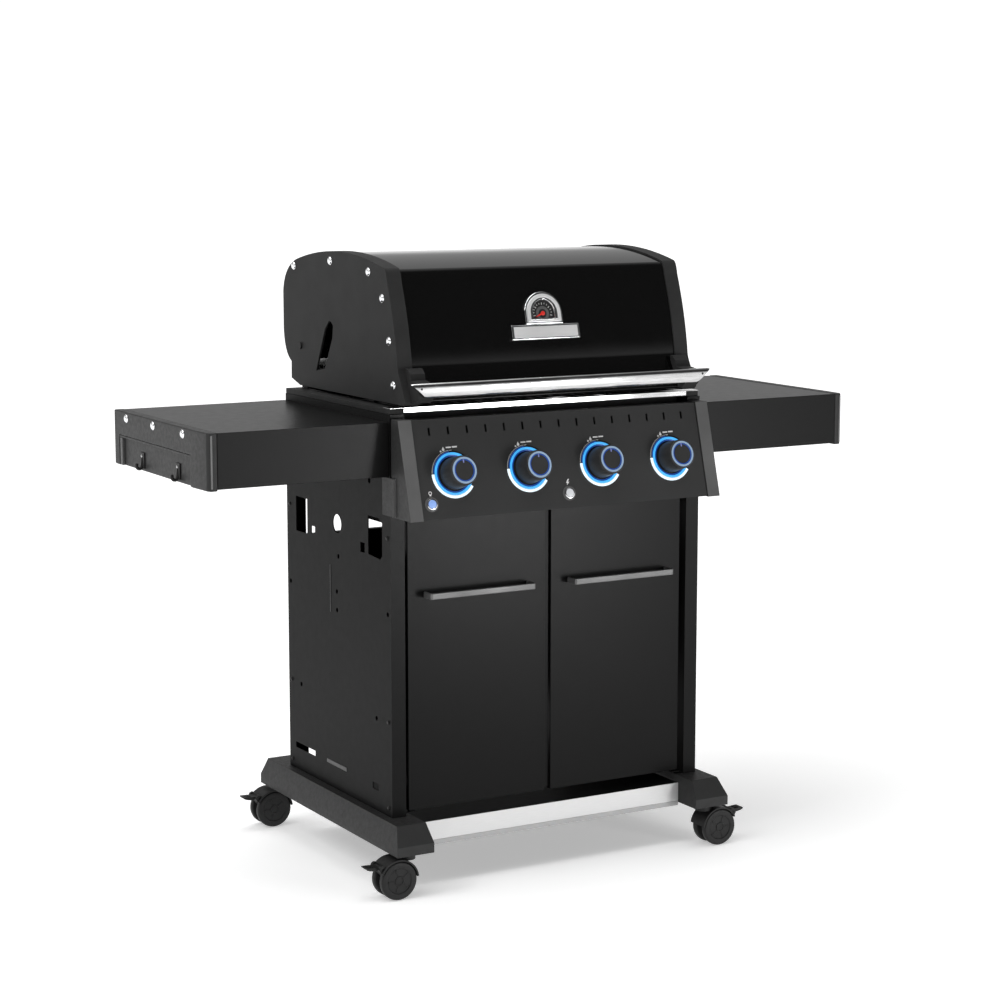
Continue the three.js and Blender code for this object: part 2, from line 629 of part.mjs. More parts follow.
function casterHood() {
  const { radius, halfWidth, swivelInset } = CASTER;
  const fender = new THREE.Shape();
  fender.absarc(0, 0, radius + 4, THREE.MathUtils.degToRad(28), THREE.MathUtils.degToRad(172), false);
  fender.lineTo(-14, -8);
  fender.lineTo(14, -8);
  const body = join(
    alongY(fender, -halfWidth, halfWidth),
    rod('y', 7, -20, 20, [PEDAL.out, PEDAL.up], 12),
    rod('z', 17, 36, RAIL.bottom - GAP - radius, [-swivelInset, 0], 16),
  );
  const wells = [[-halfWidth - 1, -WELL_WALL], [WELL_WALL, halfWidth + 1]].map(([y0, y1]) => (
    rod('y', radius + 1, y0, y1, [0, 0], 20)));
  const slotHalf = PEDAL.halfWidth + 0.5;
  const slot = [
    rod('y', PEDAL.hub + 1, -slotHalf, slotHalf, [PEDAL.out, PEDAL.up], 12),
    box([PEDAL.out, PEDAL.tip], [-slotHalf, slotHalf], [PEDAL.up - 16, PEDAL.up + 7]),
    rod('y', PEDAL.pin + 0.4, -21, 21, [PEDAL.out, PEDAL.up], 8),
    rod('y', 4.4, -9, 9, [0, 0], 12),
  ];
  const stem = rod('z', CASTER_STEM.radius, 40, 78, [-swivelInset, 0], 16);
  return join(cut(body, ...wells, ...slot), stem);
}

function twinWheel() {
  const r = CASTER.radius;
  const side = [[r - 2, 24], [r, 21.5], [r, 11.5], [r - 2, 9], [4, 9]];
  const mirrored = [...side].reverse().map(([x, y]) => [x, -y]);
  return turned([[0, 24], ...side, ...mirrored, [0, -24]].reverse(), 20);
}

function brakePedal() {
  const { out, up, hub, pin, tip, halfWidth } = PEDAL;
  const tread = shapeOf([
    [out, up - 2], [out + 14, up - 3], [tip, up + 1], [tip, up + 4], [out + 12, up + 3], [out, up + 4],
  ]);
  return join(
    rod('y', hub, -halfWidth, halfWidth, [out, up], 14),
    rod('y', pin, -19, 19, [out, up], 8),
    alongY(tread, -halfWidth, halfWidth),
  );
}

function addCaster(name, sign, y) {
  const caster = new THREE.Group();
  caster.position.set(sign * CASTER.x, y, CASTER.radius);
  if (sign < 0) caster.rotation.z = Math.PI;
  grill.add(caster);
  add(`caster_hood_${name}`, casterHood(), FINISH.plastic, caster);
  add(`caster_wheel_${name}`, twinWheel(), FINISH.plastic, caster);
  add(`caster_brake_${name}`, brakePedal(), FINISH.plastic, caster);
}

// ---- Assembly ----
for (const { name, sign } of SIDES) {
  add(`base_rail_${name}`, baseRail(sign), FINISH.plastic);
  add(`side_panel_${name}`, sidePanel(sign), FINISH.cabinetPaint);
  add(`door_${name}`, door(sign), FINISH.cabinetPaint);
  add(`door_handle_${name}`, doorHandle(sign), FINISH.handle);
  add(`console_trim_${name}`, consoleTrim(sign), FINISH.trim);
  add(`cooking_grid_${name}`, cookingGrid(sign), FINISH.castIron);
  add(`shelf_${name}`, shelf(sign), FINISH.cabinetPaint);
  add(`shelf_cap_${name}`, shelfCap(sign), FINISH.plastic);
  add(`lid_end_${name}`, endCasting(sign), FINISH.casting);
  addCaster(`front_${name}`, sign, CASTER.frontY);
  addCaster(`rear_${name}`, sign, CASTER.rearY);
}
add('bottom_shelf', bottomShelf(), FINISH.silver);
add('rear_panel', rearPanel(), FINISH.cabinetPaint);
add('firebox', firebox(), FINISH.casting);
add('front_trim', frontTrim(), FINISH.chrome);
add('console', consolePanel(), FINISH.console);
add('gas_manifold', gasManifold(), FINISH.brass);
add('drip_tray', dripTray(), FINISH.steel);
add('warming_rack', warmingRack(), FINISH.chrome);
add('lid_shell', lidShell(), FINISH.enamel);
add('lid_handle', lidHandle(), FINISH.chrome);
add('temperature_gauge', temperatureGauge(), FINISH.chrome, gaugeFace);

BURNER_X.forEach((x, i) => {
  const number = i + 1;
  add(`burner_${number}`, burner(x), FINISH.steel);
  add(`heat_tent_${number}`, heatTent(x), FINISH.steel);
  add(`valve_stem_${number}`, valveStem(), FINISH.steel, consoleFace).position.set(x, 0, KNOB_UP);
  add(`knob_${number}`, knob(), FINISH.knob, consoleFace).position.set(x, 0, KNOB_UP);
});

for (const [name, x] of Object.entries(BUTTON_X)) {
  add(`${name}_button`, button(), FINISH.chrome, consoleFace).position.set(x, 0, BUTTON_UP);
}

export default grill;
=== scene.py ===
"""The looks of a four-burner gas barbecue grill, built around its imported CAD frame.

Lengths are in metres unless a name ends in _MM. X runs across the front, Y to the back and Z up.
"""
import json
from math import atan2, cos, pi, radians, sin

import bmesh
import bpy
from mathutils import Matrix, Vector

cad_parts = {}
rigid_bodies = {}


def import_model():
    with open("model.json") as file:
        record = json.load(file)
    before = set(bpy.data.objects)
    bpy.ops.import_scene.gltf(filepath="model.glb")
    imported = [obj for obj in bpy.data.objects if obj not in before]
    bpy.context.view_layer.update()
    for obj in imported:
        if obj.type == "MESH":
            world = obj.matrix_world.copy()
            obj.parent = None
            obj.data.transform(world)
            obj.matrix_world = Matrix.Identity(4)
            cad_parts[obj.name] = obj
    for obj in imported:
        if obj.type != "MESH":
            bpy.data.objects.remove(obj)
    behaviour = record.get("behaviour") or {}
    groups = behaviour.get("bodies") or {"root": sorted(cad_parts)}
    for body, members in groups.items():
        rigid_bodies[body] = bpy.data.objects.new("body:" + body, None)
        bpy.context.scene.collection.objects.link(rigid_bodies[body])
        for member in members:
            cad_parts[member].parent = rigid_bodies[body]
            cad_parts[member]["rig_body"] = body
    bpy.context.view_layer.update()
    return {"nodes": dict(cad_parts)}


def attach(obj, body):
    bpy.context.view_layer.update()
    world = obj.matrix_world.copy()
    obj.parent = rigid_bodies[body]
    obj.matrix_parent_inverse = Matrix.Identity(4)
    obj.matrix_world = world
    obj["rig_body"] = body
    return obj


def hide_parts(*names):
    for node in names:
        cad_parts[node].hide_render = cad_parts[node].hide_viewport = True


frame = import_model()
NODES = frame["nodes"]


MM = 0.001
SIDES = (("left", -1), ("right", 1))
CASTERS = [(f"{end}_{name}", sign, end) for name, sign in SIDES for end in ("front", "rear")]


# ---- Materials: a small node-graph builder and one function per finish ----
class Graph:
    """The node tree of a new material, with short ways to add and link nodes."""

    def __init__(self, name):
        self.material = bpy.data.materials.new(name)
        self.material.use_nodes = True
        self.tree = self.material.node_tree
        self.shader = self.tree.nodes["Principled BSDF"]
        self.coords = self.tree.nodes.new("ShaderNodeTexCoord").outputs["Object"]

    def node(self, kind, inputs=None, **settings):
        node = self.tree.nodes.new("ShaderNode" + kind)
        for key, value in settings.items():
            setattr(node, key, value)
        for key, value in (inputs or {}).items():
            self.feed(node.inputs[key], value)
        return node

    def feed(self, socket, value):
        if isinstance(value, bpy.types.NodeSocket):
            self.tree.links.new(value, socket)
        else:
            socket.default_value = value

    def set(self, **values):
        for key, value in values.items():
            self.feed(self.shader.inputs[key.replace("_", " ")], value)
        return self

    def scaled(self, x, y, z):
        return self.node("Mapping", {"Vector": self.coords, "Scale": (x, y, z)}).outputs["Vector"]

    def noise(self, scale, detail=2.0, rough=0.5, vector=None):
        inputs = {"Vector": vector or self.coords, "Scale": scale, "Detail": detail, "Roughness": rough}
        return self.node("TexNoise", inputs).outputs["Fac"]

    def spread(self, value, low, high, start=0.0, end=1.0):
        inputs = {"Value": value, "From Min": start, "From Max": end, "To Min": low, "To Max": high}
        return self.node("MapRange", inputs).outputs["Result"]

    def tint(self, factor, dark, light):
        mix = self.node("Mix", data_type="RGBA")
        self.feed(mix.inputs["Factor"], factor)
        self.feed(mix.inputs["A"], rgba(dark))
        self.feed(mix.inputs["B"], rgba(light))
        return mix.outputs["Result"]

    def bump(self, height, distance, strength=1.0, under=None):
        inputs = {"Height": height, "Distance": distance, "Strength": strength}
        if under is not None:
            inputs["Normal"] = under
        return self.node("Bump", inputs).outputs["Normal"]


def rgba(color):
    if isinstance(color, (int, float)):
        return (color, color, color, 1.0)
    return (*color, 1.0)


def powder_coat(name, dark, light, roughness=0.42, grain=900.0, specular=0.2):
    """Sprayed powder paint: a fine orange peel and a slow change of tone and gloss."""
    g = Graph(name)
    g.shader.inputs["Specular IOR Level"].default_value = specular
    peel = g.noise(grain, 3.0, 0.6)
    cloud = g.noise(3.0, 2.0, 0.5)
    gloss = g.spread(g.noise(60.0, 3.0, 0.5), roughness - 0.012, roughness + 0.018, 0.3, 0.7)
    color = g.tint(g.spread(cloud, 0.0, 1.0, 0.3, 0.7), dark, light)
    normal = g.bump(peel, 0.00006, 0.4)
    return g.set(Base_Color=color, Roughness=gloss, Normal=normal).material


def cast_paint(name, dark, light):
    """Heat paint on a casting: a sandy skin with faint larger ripples."""
    g = Graph(name)
    g.shader.inputs["Specular IOR Level"].default_value = 0.13
    sand = g.noise(1500.0, 4.0, 0.65)
    ripple = g.noise(60.0, 2.0, 0.5)
    color = g.tint(g.spread(g.noise(18.0, 3.0, 0.5), 0.0, 1.0, 0.3, 0.7), dark, light)
    normal = g.bump(sand, 0.00012, 0.5, g.bump(ripple, 0.0003, 0.15))
    roughness = g.spread(sand, 0.5, 0.68, 0.3, 0.7)
    return g.set(Base_Color=color, Roughness=roughness, Normal=normal).material


def moulded_plastic(name, dark, light, roughness=0.5):
    """Injection-moulded plastic with a fine spark-eroded texture."""
    g = Graph(name)
    g.shader.inputs["Specular IOR Level"].default_value = 0.22
    cells = g.node("TexVoronoi", {"Vector": g.coords, "Scale": 1400.0}).outputs["Distance"]
    haze = g.noise(9.0, 3.0, 0.6)
    color = g.tint(g.spread(haze, 0.0, 1.0, 0.3, 0.7), dark, light)
    sheen = g.spread(g.noise(120.0, 3.0), roughness - 0.05, roughness + 0.08, 0.3, 0.7)
    return g.set(Base_Color=color, Roughness=sheen, Normal=g.bump(cells, 0.0001, 0.45)).material


def gloss_enamel(name):
    """Porcelain enamel: almost black glass with a very slow ripple and tiny specks."""
    g = Graph(name)
    ripple = g.noise(26.0, 2.0, 0.45)
    specks = g.node("TexVoronoi", {"Vector": g.coords, "Scale": 700.0}).outputs["Distance"]
    color = g.tint(g.spread(specks, 1.0, 0.0, 0.0, 0.12), 0.003, 0.010)
    gloss = g.spread(g.noise(14.0, 5.0, 0.6), 0.07, 0.12, 0.3, 0.7)
    g.shader.inputs["Specular IOR Level"].default_value = 0.4
    return g.set(Base_Color=color, Roughness=gloss, Normal=g.bump(ripple, 0.0005, 0.06)).material


def polished_metal(name, color, roughness=0.09):
    """Bright plated metal with faint polishing haze."""
    g = Graph(name)
    haze = g.noise(30.0, 5.0, 0.65)
    fine = g.noise(900.0, 2.0, 0.5, g.scaled(0.06, 1.0, 1.0))
    gloss = g.spread(haze, roughness - 0.03, roughness + 0.06, 0.3, 0.7)
    tone = g.tint(haze, tuple(0.94 * c for c in color), color)
    g.shader.inputs["Metallic"].default_value = 1.0
    return g.set(Base_Color=tone, Roughness=gloss, Normal=g.bump(fine, 0.00003, 0.3)).material


def brushed_metal(name, dark, light, roughness=0.32, grain=(0.02, 1.0, 1.0), metallic=1.0):
    """Metal brushed along one axis, given as a stretch of the grain."""
    g = Graph(name)
    lines = g.noise(1600.0, 3.0, 0.7, g.scaled(*grain))
    cloud = g.noise(12.0, 3.0, 0.5)
    color = g.tint(g.spread(lines, 0.0, 1.0, 0.25, 0.75), dark, light)
    g.shader.inputs["Metallic"].default_value = metallic
    gloss = g.spread(cloud, roughness - 0.06, roughness + 0.08, 0.3, 0.7)
    return g.set(Base_Color=color, Roughness=gloss, Normal=g.bump(lines, 0.00006, 0.4)).material


def cast_iron(name):
    """Seasoned cast iron: coarse grains and oily patches."""
    g = Graph(name)
    grains = g.noise(700.0, 5.0, 0.7)
    oil = g.noise(35.0, 4.0, 0.6)
    color = g.tint(g.spread(oil, 0.0, 1.0, 0.35, 0.65), 0.012, 0.035)
    g.shader.inputs["Metallic"].default_value = 0.5
    gloss = g.spread(oil, 0.38, 0.7, 0.3, 0.7)
    return g.set(Base_Color=color, Roughness=gloss, Normal=g.bump(grains, 0.0004, 0.7)).material


def heated_steel(name):
    """Stainless steel that has been hot: straw and blue tints over a brushed grain."""
    g = Graph(name)
    lines = g.noise(1200.0, 3.0, 0.7, g.scaled(1.0, 0.03, 1.0))
    heat = g.noise(9.0, 3.0, 0.55)
    color = g.tint(g.spread(heat, 0.0, 1.0, 0.4, 0.65), (0.42, 0.41, 0.39), (0.36, 0.28, 0.2))
    g.shader.inputs["Metallic"].default_value = 1.0
    gloss = g.spread(lines, 0.25, 0.42, 0.3, 0.7)
    return g.set(Base_Color=color, Roughness=gloss, Normal=g.bump(lines, 0.00006, 0.4)).material


def glow(name, color, strength):
    """A lit light guide: a bright, slightly uneven diffuser."""
    g = Graph(name)
    cloud = g.spread(g.noise(60.0, 2.0), 0.85 * strength, 1.1 * strength, 0.3, 0.7)
    g.set(Emission_Color=rgba(color), Emission_Strength=cloud)
    g.shader.inputs["Roughness"].default_value = 0.3
    g.shader.inputs["Base Color"].default_value = rgba(tuple(0.35 * c for c in color))
    return g.material


MATERIAL = {
    "cabinet": powder_coat("cabinet_powder_coat", 0.003, 0.004, 0.50, specular=0.08),
    "door": powder_coat("door_powder_coat", 0.0020, 0.0026, 0.32, specular=0.10),
    "shelf": powder_coat("shelf_powder_coat", 0.0050, 0.0068, 0.34, specular=0.12),
    "console": powder_coat("console_powder_coat", 0.023, 0.028, 0.40, 1300.0, 0.25),
    "casting": cast_paint("casting_heat_paint", 0.017, 0.022),
    "plastic": moulded_plastic("charcoal_plastic", 0.022, 0.026),
    "cap": moulded_plastic("shelf_cap_plastic", 0.017, 0.021, 0.45),
    # A light grey plastic for the painted highlight along the shelf caps' front edges.
    "edge": moulded_plastic("edge_highlight_plastic", 0.13, 0.16, 0.4),
    # A lighter grey plastic; on the console trims' fronts and the recess ends it is painted light.
    "trim": moulded_plastic("console_trim_plastic", 0.078, 0.096, 0.42),
    "wheel": moulded_plastic("caster_plastic", 0.014, 0.018, 0.48),
    "knob": moulded_plastic("knob_plastic", 0.020, 0.026, 0.38),
    "enamel": gloss_enamel("gloss_black_enamel"),
    "chrome": polished_metal("polished_chrome", (0.90, 0.91, 0.92)),
    "bar": brushed_metal("polished_bar", 0.36, 0.74, 0.12),
    "silver": brushed_metal("silver_steel", 0.58, 0.66, 0.4, metallic=0.35),
    "handle": brushed_metal("dark_brushed_aluminium", 0.10, 0.14, 0.42, metallic=0.4),
    # A darker grey steel for the painted shade band at the foot of the bottom shelf.
    "shade_band": brushed_metal("shade_band_steel", 0.36, 0.40, 0.5, metallic=0.2),
    "steel": brushed_metal("stainless_steel", 0.38, 0.52, 0.3),
    "heated": heated_steel("heated_steel"),
    "brass": brushed_metal("machined_brass", (0.55, 0.40, 0.16), (0.66, 0.50, 0.22), 0.28),
    "iron": cast_iron("seasoned_cast_iron"),
    "deep_glow": glow("deep_blue_light_guide", (0.01, 0.07, 0.36), 0.6),
    "blue_glow": glow("blue_light_guide", (0.06, 0.42, 0.90), 0.95),
    "white_glow": glow("white_light_guide", (0.80, 0.92, 1.0), 0.95),
    "ring_glow": glow("knob_light_guide", (0.26, 0.36, 0.50), 0.7),
    "blue_lens": glow("light_button_lens", (0.30, 0.48, 0.95), 0.55),
    "white_lens": glow("igniter_lens", (0.80, 0.82, 0.85), 0.45),
    "tick": glow("knob_tick", (0.22, 0.25, 0.55), 0.5),
    "print_white": moulded_plastic("white_print", 0.55, 0.62, 0.5),
    "print_grey": moulded_plastic("grey_print", 0.30, 0.36, 0.5),
    "black": moulded_plastic("black_plastic", 0.006, 0.009, 0.4),
    "red": moulded_plastic("needle_red", (0.55, 0.02, 0.015), (0.62, 0.03, 0.02), 0.4),
    "dial": moulded_plastic("dial_face", 0.014, 0.02, 0.4),
}


# ---- Placing and finishing pieces ----
def smooth(obj, angle=35.0):
    """Shades an object smooth, keeping edges sharper than the angle."""
    mesh = obj.data
    bm = bmesh.new()
    bm.from_mesh(mesh)
    limit = radians(angle)
    for edge in bm.edges:
        edge.smooth = len(edge.link_faces) == 2 and edge.calc_face_angle(0.0) < limit
    for face in bm.faces:
        face.smooth = True
    bm.to_mesh(mesh)
    bm.free()
    return obj


def apply_modifiers(obj):
    depsgraph = bpy.context.evaluated_depsgraph_get()
    mesh = bpy.data.meshes.new_from_object(obj.evaluated_get(depsgraph), depsgraph=depsgraph)
    obj.modifiers.clear()
    old = obj.data
    obj.data = mesh
    bpy.data.meshes.remove(old)
    return obj


def rounded(obj, width, segments=2, angle=30.0):
    """Bevels the sharp edges and bakes the bevel into the mesh."""
    bevel = obj.modifiers.new("round", "BEVEL")
    bevel.width = width
    bevel.segments = segments
    bevel.limit_method = "ANGLE"
    bevel.angle_limit = radians(angle)
    bpy.context.view_layer.update()
    return weighted(smooth(apply_modifiers(obj), 50.0))


def weighted(obj):
    """Turns the shading of each corner towards its largest faces, so that flat faces look flat."""
    modifier = obj.modifiers.new("weighted", "WEIGHTED_NORMAL")
    modifier.keep_sharp = True
    bpy.context.view_layer.update()
    return apply_modifiers(obj)


def new_object(name, bm, material, body=None):
    mesh = bpy.data.meshes.new(name)
    bmesh.ops.recalc_face_normals(bm, faces=bm.faces)
    bm.to_mesh(mesh)
    bm.free()
    obj = bpy.data.objects.new(name, mesh)
    bpy.context.scene.collection.objects.link(obj)
    obj.data.materials.append(MATERIAL[material])
    if body:
        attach(obj, body)
    return obj


def body_of(node):
    return NODES[node]["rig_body"]


def stands_for(obj, node):
    """The piece takes the node's place and body, and the node is hidden."""
    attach(obj, body_of(node))
    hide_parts(node)
    return obj


def softened(node, material, width=0.0008, segments=2, angle=30.0):
    """A copy of a CAD node with flat faces merged and its edges rounded, in the node's place."""
    bm = bmesh.new()
    bm.from_mesh(NODES[node].data)
    bmesh.ops.remove_doubles(bm, verts=bm.verts, dist=1e-6)
    bmesh.ops.dissolve_limit(bm, angle_limit=radians(0.6), verts=bm.verts, edges=bm.edges)
    obj = new_object(f"{node}_shape", bm, material)
    rounded(obj, width, segments, angle)
    return stands_for(obj, node)


# ---- Shapes ----
def loop_of(bm, points):
    return [bm.verts.new(point) for point in points]


def bridge(bm, low, high):
    for i, vert in enumerate(low):
        j = (i + 1) % len(low)
        bm.faces.new((vert, low[j], high[j], high[i]))


def prism(outline, low, high, place):
    """A prism over an outline of (a, b) points; place turns (a, b, depth) into a position."""
    bm = bmesh.new()
    rings = [loop_of(bm, [place(a, b, depth) for a, b in outline]) for depth in (low, high)]
    bridge(bm, *rings)
    bm.faces.new(rings[0])
    bm.faces.new(rings[1])
    return bm


def lathe(profile, segments=48, matrix=None):
    """A solid of revolution about its own Z axis from (radius, height) points."""
    bm = bmesh.new()
    rings = []
    for radius, height in profile:
        if radius < 1e-7:
            rings.append([bm.verts.new((0, 0, height))])
            continue
        turn = [2 * pi * i / segments for i in range(segments)]
        rings.append(loop_of(bm, [(radius * cos(t), radius * sin(t), height) for t in turn]))
    for low, high in zip(rings, rings[1:]):
        for i in range(segments):
            j = (i + 1) % segments
            quad = [low[i % len(low)], low[j % len(low)], high[j % len(high)], high[i % len(high)]]
            unique = list(dict.fromkeys(quad))
            if len(unique) > 2:
                bm.faces.new(unique)
    if len(rings[0]) > 1 and len(rings[-1]) > 1:
        for i in range(segments):
            j = (i + 1) % segments
            bm.faces.new((rings[-1][i], rings[-1][j], rings[0][j], rings[0][i]))
    if matrix is not None:
        bm.transform(matrix)
    return bm


def block(low, high):
    bm = bmesh.new()
    bmesh.ops.create_cube(bm, size=1.0)
    middle = [(a + b) / 2 for a, b in zip(low, high)]
    size = [abs(b - a) for a, b in zip(low, high)]
    bm.transform(Matrix.Translation(middle) @ Matrix.Diagonal((*size, 1.0)))
    return bm


def side_block(sign, low, high):
    """A block given for the right side of the grill, on the side asked for."""
    return block((sign * low[0], *low[1:]), (sign * high[0], *high[1:]))


def merged(*parts):
    """One mesh holding several parts, which are used up."""
    total = bmesh.new()
    for part in parts:
        mesh = bpy.data.meshes.new("part")
        part.to_mesh(mesh)
        part.free()
        total.from_mesh(mesh)
        bpy.data.meshes.remove(mesh)
    return total


def arc(cx, cy, radius, start, end, steps):
    angles = [radians(start + (end - start) * i / steps) for i in range(steps + 1)]
    return [(cx + radius * cos(a), cy + radius * sin(a)) for a in angles]


def in_mm(profile):
    """A profile of (radius, height) millimetres in metres."""
    return [(r * MM, z * MM) for r, z in profile]


# ---- Lid: end castings, enamelled shell, bolts and handle ----
def curve_to(points, control, end, steps=14):
    """Extends an outline along a quadratic curve."""
    x0, y0 = points[-1]
    for i in range(1, steps + 1):
        t = i / steps
        a, b, c = (1 - t) ** 2, 2 * t * (1 - t), t * t
        points.append((a * x0 + b * control[0] + c * end[0], a * y0 + b * control[1] + c * end[1]))


def lid_outline():
    """The lid's side view as (y, z) points in millimetres, as in the CAD part."""
    points = [(222, 945), (263, 957), (262.5, 991.5)]
    curve_to(points, (296, 1006), (299, 1060))
    points.append((299, 1134))
    curve_to(points, (293, 1184), (233, 1202))
    curve_to(points, (36, 1248), (-161, 1200.5), 28)
    curve_to(points, (-170, 1196), (-174, 1174))
    curve_to(points, (-204, 1095), (-214.3, 1020))
    curve_to(points, (-215, 1010.6), (-220, 1001.4), 6)
    points += [(-247, 951.5), (-240, 945)]
    return points


def inset(points, distance):
    """Moves every corner of a closed outline inwards, keeping its sides parallel."""
    area = sum(x * v - u * y for (x, y), (u, v) in zip(points, points[1:] + points[:1]))
    side = distance if area > 0 else -distance
    result = []
    for i, point in enumerate(points):
        here = Vector(point)
        before = (here - Vector(points[i - 1])).normalized()
        after = (Vector(points[(i + 1) % len(points)]) - here).normalized()
        miter = side / (1 + before.dot(after))
        result.append((here.x - (before.y + after.y) * miter, here.y + (before.x + after.x) * miter))
    return result


LID = lid_outline()
LID_OUTER_MM = 330.2
LID_INNER_MM = 299.0
END_WALL_MM = 4.2
RIM_MM = 5
BOLT_SEGMENTS = 32
LID_VENT_MM = [
    (82, 1085), (73, 1084), (64, 1077), (68, 1051), (103, 988), (144, 981), (123, 1024), (101, 1068),
]


def across(sign):
    """Places an outline of (y, z) millimetres at a distance along X in millimetres."""
    return lambda a, b, depth: (sign * depth * MM, a * MM, b * MM)


def boolean(target, tool, operation="DIFFERENCE"):
    """Cuts or joins one object with another, which is used up."""
    modifier = target.modifiers.new("cut", "BOOLEAN")
    modifier.object = tool
    modifier.operation = operation
    modifier.solver = "EXACT"
    bpy.context.view_layer.update()
    apply_modifiers(target)
    mesh = tool.data
    bpy.data.objects.remove(tool)
    bpy.data.meshes.remove(mesh)
    return target


# The handle's lug: its part on the casting, and its part in front of the enamelled shell.
LUG_FRONT_MM = [(-228, 1013), (-238, 1004), (-241, 992), (-275.5, 988), (-275.5, 962), (-262, 951)]
LUG_MM = [
    ([(-212, 1014), *LUG_FRONT_MM, (-240, 950)], 300, 316),
    ([(-220, 1013.5), *LUG_FRONT_MM, (-251, 951), (-236.5, 977), (-221.5, 1003)], 284, 304),
]


def lid_end(name, sign):
    """A casting with a hollow, a notch at the hinge and a vent, and the lug for the handle."""
    place = across(sign)
    end = new_object(f"lid_casting_{name}", prism(LID, LID_INNER_MM, LID_OUTER_MM, place), "casting")
    cuts = [
        prism(inset(LID, RIM_MM), LID_INNER_MM - 1, LID_OUTER_MM - END_WALL_MM, place),
        block((sign * 0.298, 0.14, 0.94), (sign * (LID_OUTER_MM - END_WALL_MM) * MM, 0.31, 1.045)),
        prism(LID_VENT_MM, LID_OUTER_MM - 9, LID_OUTER_MM + 1, place),
    ]
    for i, cut in enumerate(cuts):
        boolean(end, new_object(f"lid_cut_{i}", cut, "casting"))
    for profile, inner, outer in LUG_MM:
        boolean(end, new_object("lug", prism(profile, inner, outer, place), "casting"), "UNION")
    bm = bmesh.new()
    bm.from_mesh(end.data)
    bmesh.ops.dissolve_limit(bm, angle_limit=radians(0.3), verts=bm.verts, edges=bm.edges)
    bm.to_mesh(end.data)
    bm.free()
    rounded(end, 0.0024, 3, 32.0)
    stands_for(end, f"lid_end_{name}")
    lid_bolts(name, sign)


LID_BOLTS_MM = [(245, 1188), (74, 1205), (-95, 1191), (-153, 1143), (-181, 1063), (-198, 980)]


def dome_bolt(radius=7.5, height=4.6):
    """A domed chrome bolt head with a flat rim, its axis along Z, in metres."""
    cap = [(radius * cos(radians(a)), 1.2 + (height - 1.2) * sin(radians(a))) for a in range(0, 90, 15)]
    profile = [(0, 0), (radius + 0.9, 0), (radius + 0.9, 0.7), (radius + 0.3, 1.2), *cap, (0, height)]
    return in_mm(profile)


def facing(x, y, z, direction):
    """A matrix that puts a piece made along Z at a point, facing along the direction."""
    turn = Vector((0, 0, 1)).rotation_difference(Vector(direction)).to_matrix().to_4x4()
    return Matrix.Translation((x, y, z)) @ turn


def lid_bolts(name, sign):
    for i, (y, z) in enumerate(LID_BOLTS_MM):
        at = facing(sign * LID_OUTER_MM * MM, y * MM, z * MM, (sign, 0, 0))
        head = lathe(dome_bolt(), BOLT_SEGMENTS, at)
        smooth(new_object(f"lid_bolt_{name}_{i + 1}", head, "chrome", "lid"), 50)


SHELL_HALF_MM = 298.7
SHELL_INSET_MM = (3, 5)
MOUTH_MM = {"front": -236, "rear": 214, "top": 955}


def lid_shell():
    """The enamelled sheet: the outline set in twice, and open underneath at its mouth."""
    m = MOUTH_MM
    outer, inner = (inset(LID, distance) for distance in SHELL_INSET_MM)
    keep = [i for i, (y, z) in enumerate(outer) if z > m["top"] or not m["front"] < y < m["rear"]]
    start = next(i for i in range(len(keep)) if keep[i] - keep[i - 1] != 1)
    order = keep[start:] + keep[:start]
    section = [outer[i] for i in order] + [inner[i] for i in reversed(order)]
    sheet = prism(section, -SHELL_HALF_MM, SHELL_HALF_MM, across(1))
    shell = new_object("lid_shell_enamel", sheet, "enamel")
    rounded(shell, 0.0006, 2, 40.0)
    stands_for(shell, "lid_shell")


HANDLE = {
    "front": -288.4, "back": -276.3, "low": 962.1, "high": 990.3, "half_high": 337.8, "half_low": 306.6,
}
CROWN_START_MM = 3  # how far in front of the handle's back its crowned face begins
END_LIP = 0.004  # the length over which each end of the handle narrows
END_SHRINK = 0.93
RIVET_X = 0.317
RIVET = [(0, 0), (0.0022, 0), (0.0022, 0.0012), (0.0016, 0.0018), (0, 0.0018)]


def handle_section(middle, half):
    """The bar's section as (y, z) millimetres: a crowned front and a flat back."""
    h = HANDLE
    base = h["back"] - CROWN_START_MM
    section = []
    for i in range(25):
        t = radians(-90 + 180 * i / 24)
        section.append((base - (base - h["front"]) * abs(cos(t)) ** 0.6, middle + half * sin(t)))
    return section + [(h["back"], h["high"] - 1.6), (h["back"], h["low"] + 1.6)]


def lid_handle():
    """A crowned polished bar with rounded long edges and ends cut on the slant."""
    h = HANDLE
    middle = (h["low"] + h["high"]) / 2
    half = (h["high"] - h["low"]) / 2
    section = handle_section(middle, half)
    bm = bmesh.new()
    rings = []
    for end, back_off in ((-1, 0.0), (-1, END_LIP), (1, END_LIP), (1, 0.0)):
        shrink = END_SHRINK if back_off == 0.0 else 1.0
        ring = []
        for y, z in section:
            reach = h["half_low"] + (h["half_high"] - h["half_low"]) * (z - h["low"]) / (2 * half)
            up = middle + (z - middle) * shrink
            out = y + (1 - shrink) * (h["back"] - CROWN_START_MM - y)
            ring.append(bm.verts.new((end * (reach * MM - back_off), out * MM, up * MM)))
        rings.append(ring)
    for low, high in zip(rings, rings[1:]):
        bridge(bm, low, high)
    bm.faces.new(rings[0])
    bm.faces.new(rings[-1])
    stands_for(smooth(new_object("lid_handle_bar", bm, "bar"), 40), "lid_handle")
    for name, sign in SIDES:
        at = facing(sign * RIVET_X, (h["front"] + 1.2) * MM, middle * MM + 0.004, (0, -1, 0))
        smooth(new_object(f"handle_rivet_{name}", lathe(RIVET, 20, at), "black", "lid"), 50)


# ---- Temperature gauge: a stepped housing, a dial in a window and a plain plate ----
GAUGE_PLACE = (0, -0.1951, 1.101)
GAUGE_LEAN = 14.8  # degrees back from upright, as the front of the lid there
GAUGE = Matrix.Translation(GAUGE_PLACE) @ Matrix.Rotation(radians(90 - GAUGE_LEAN), 4, "X")


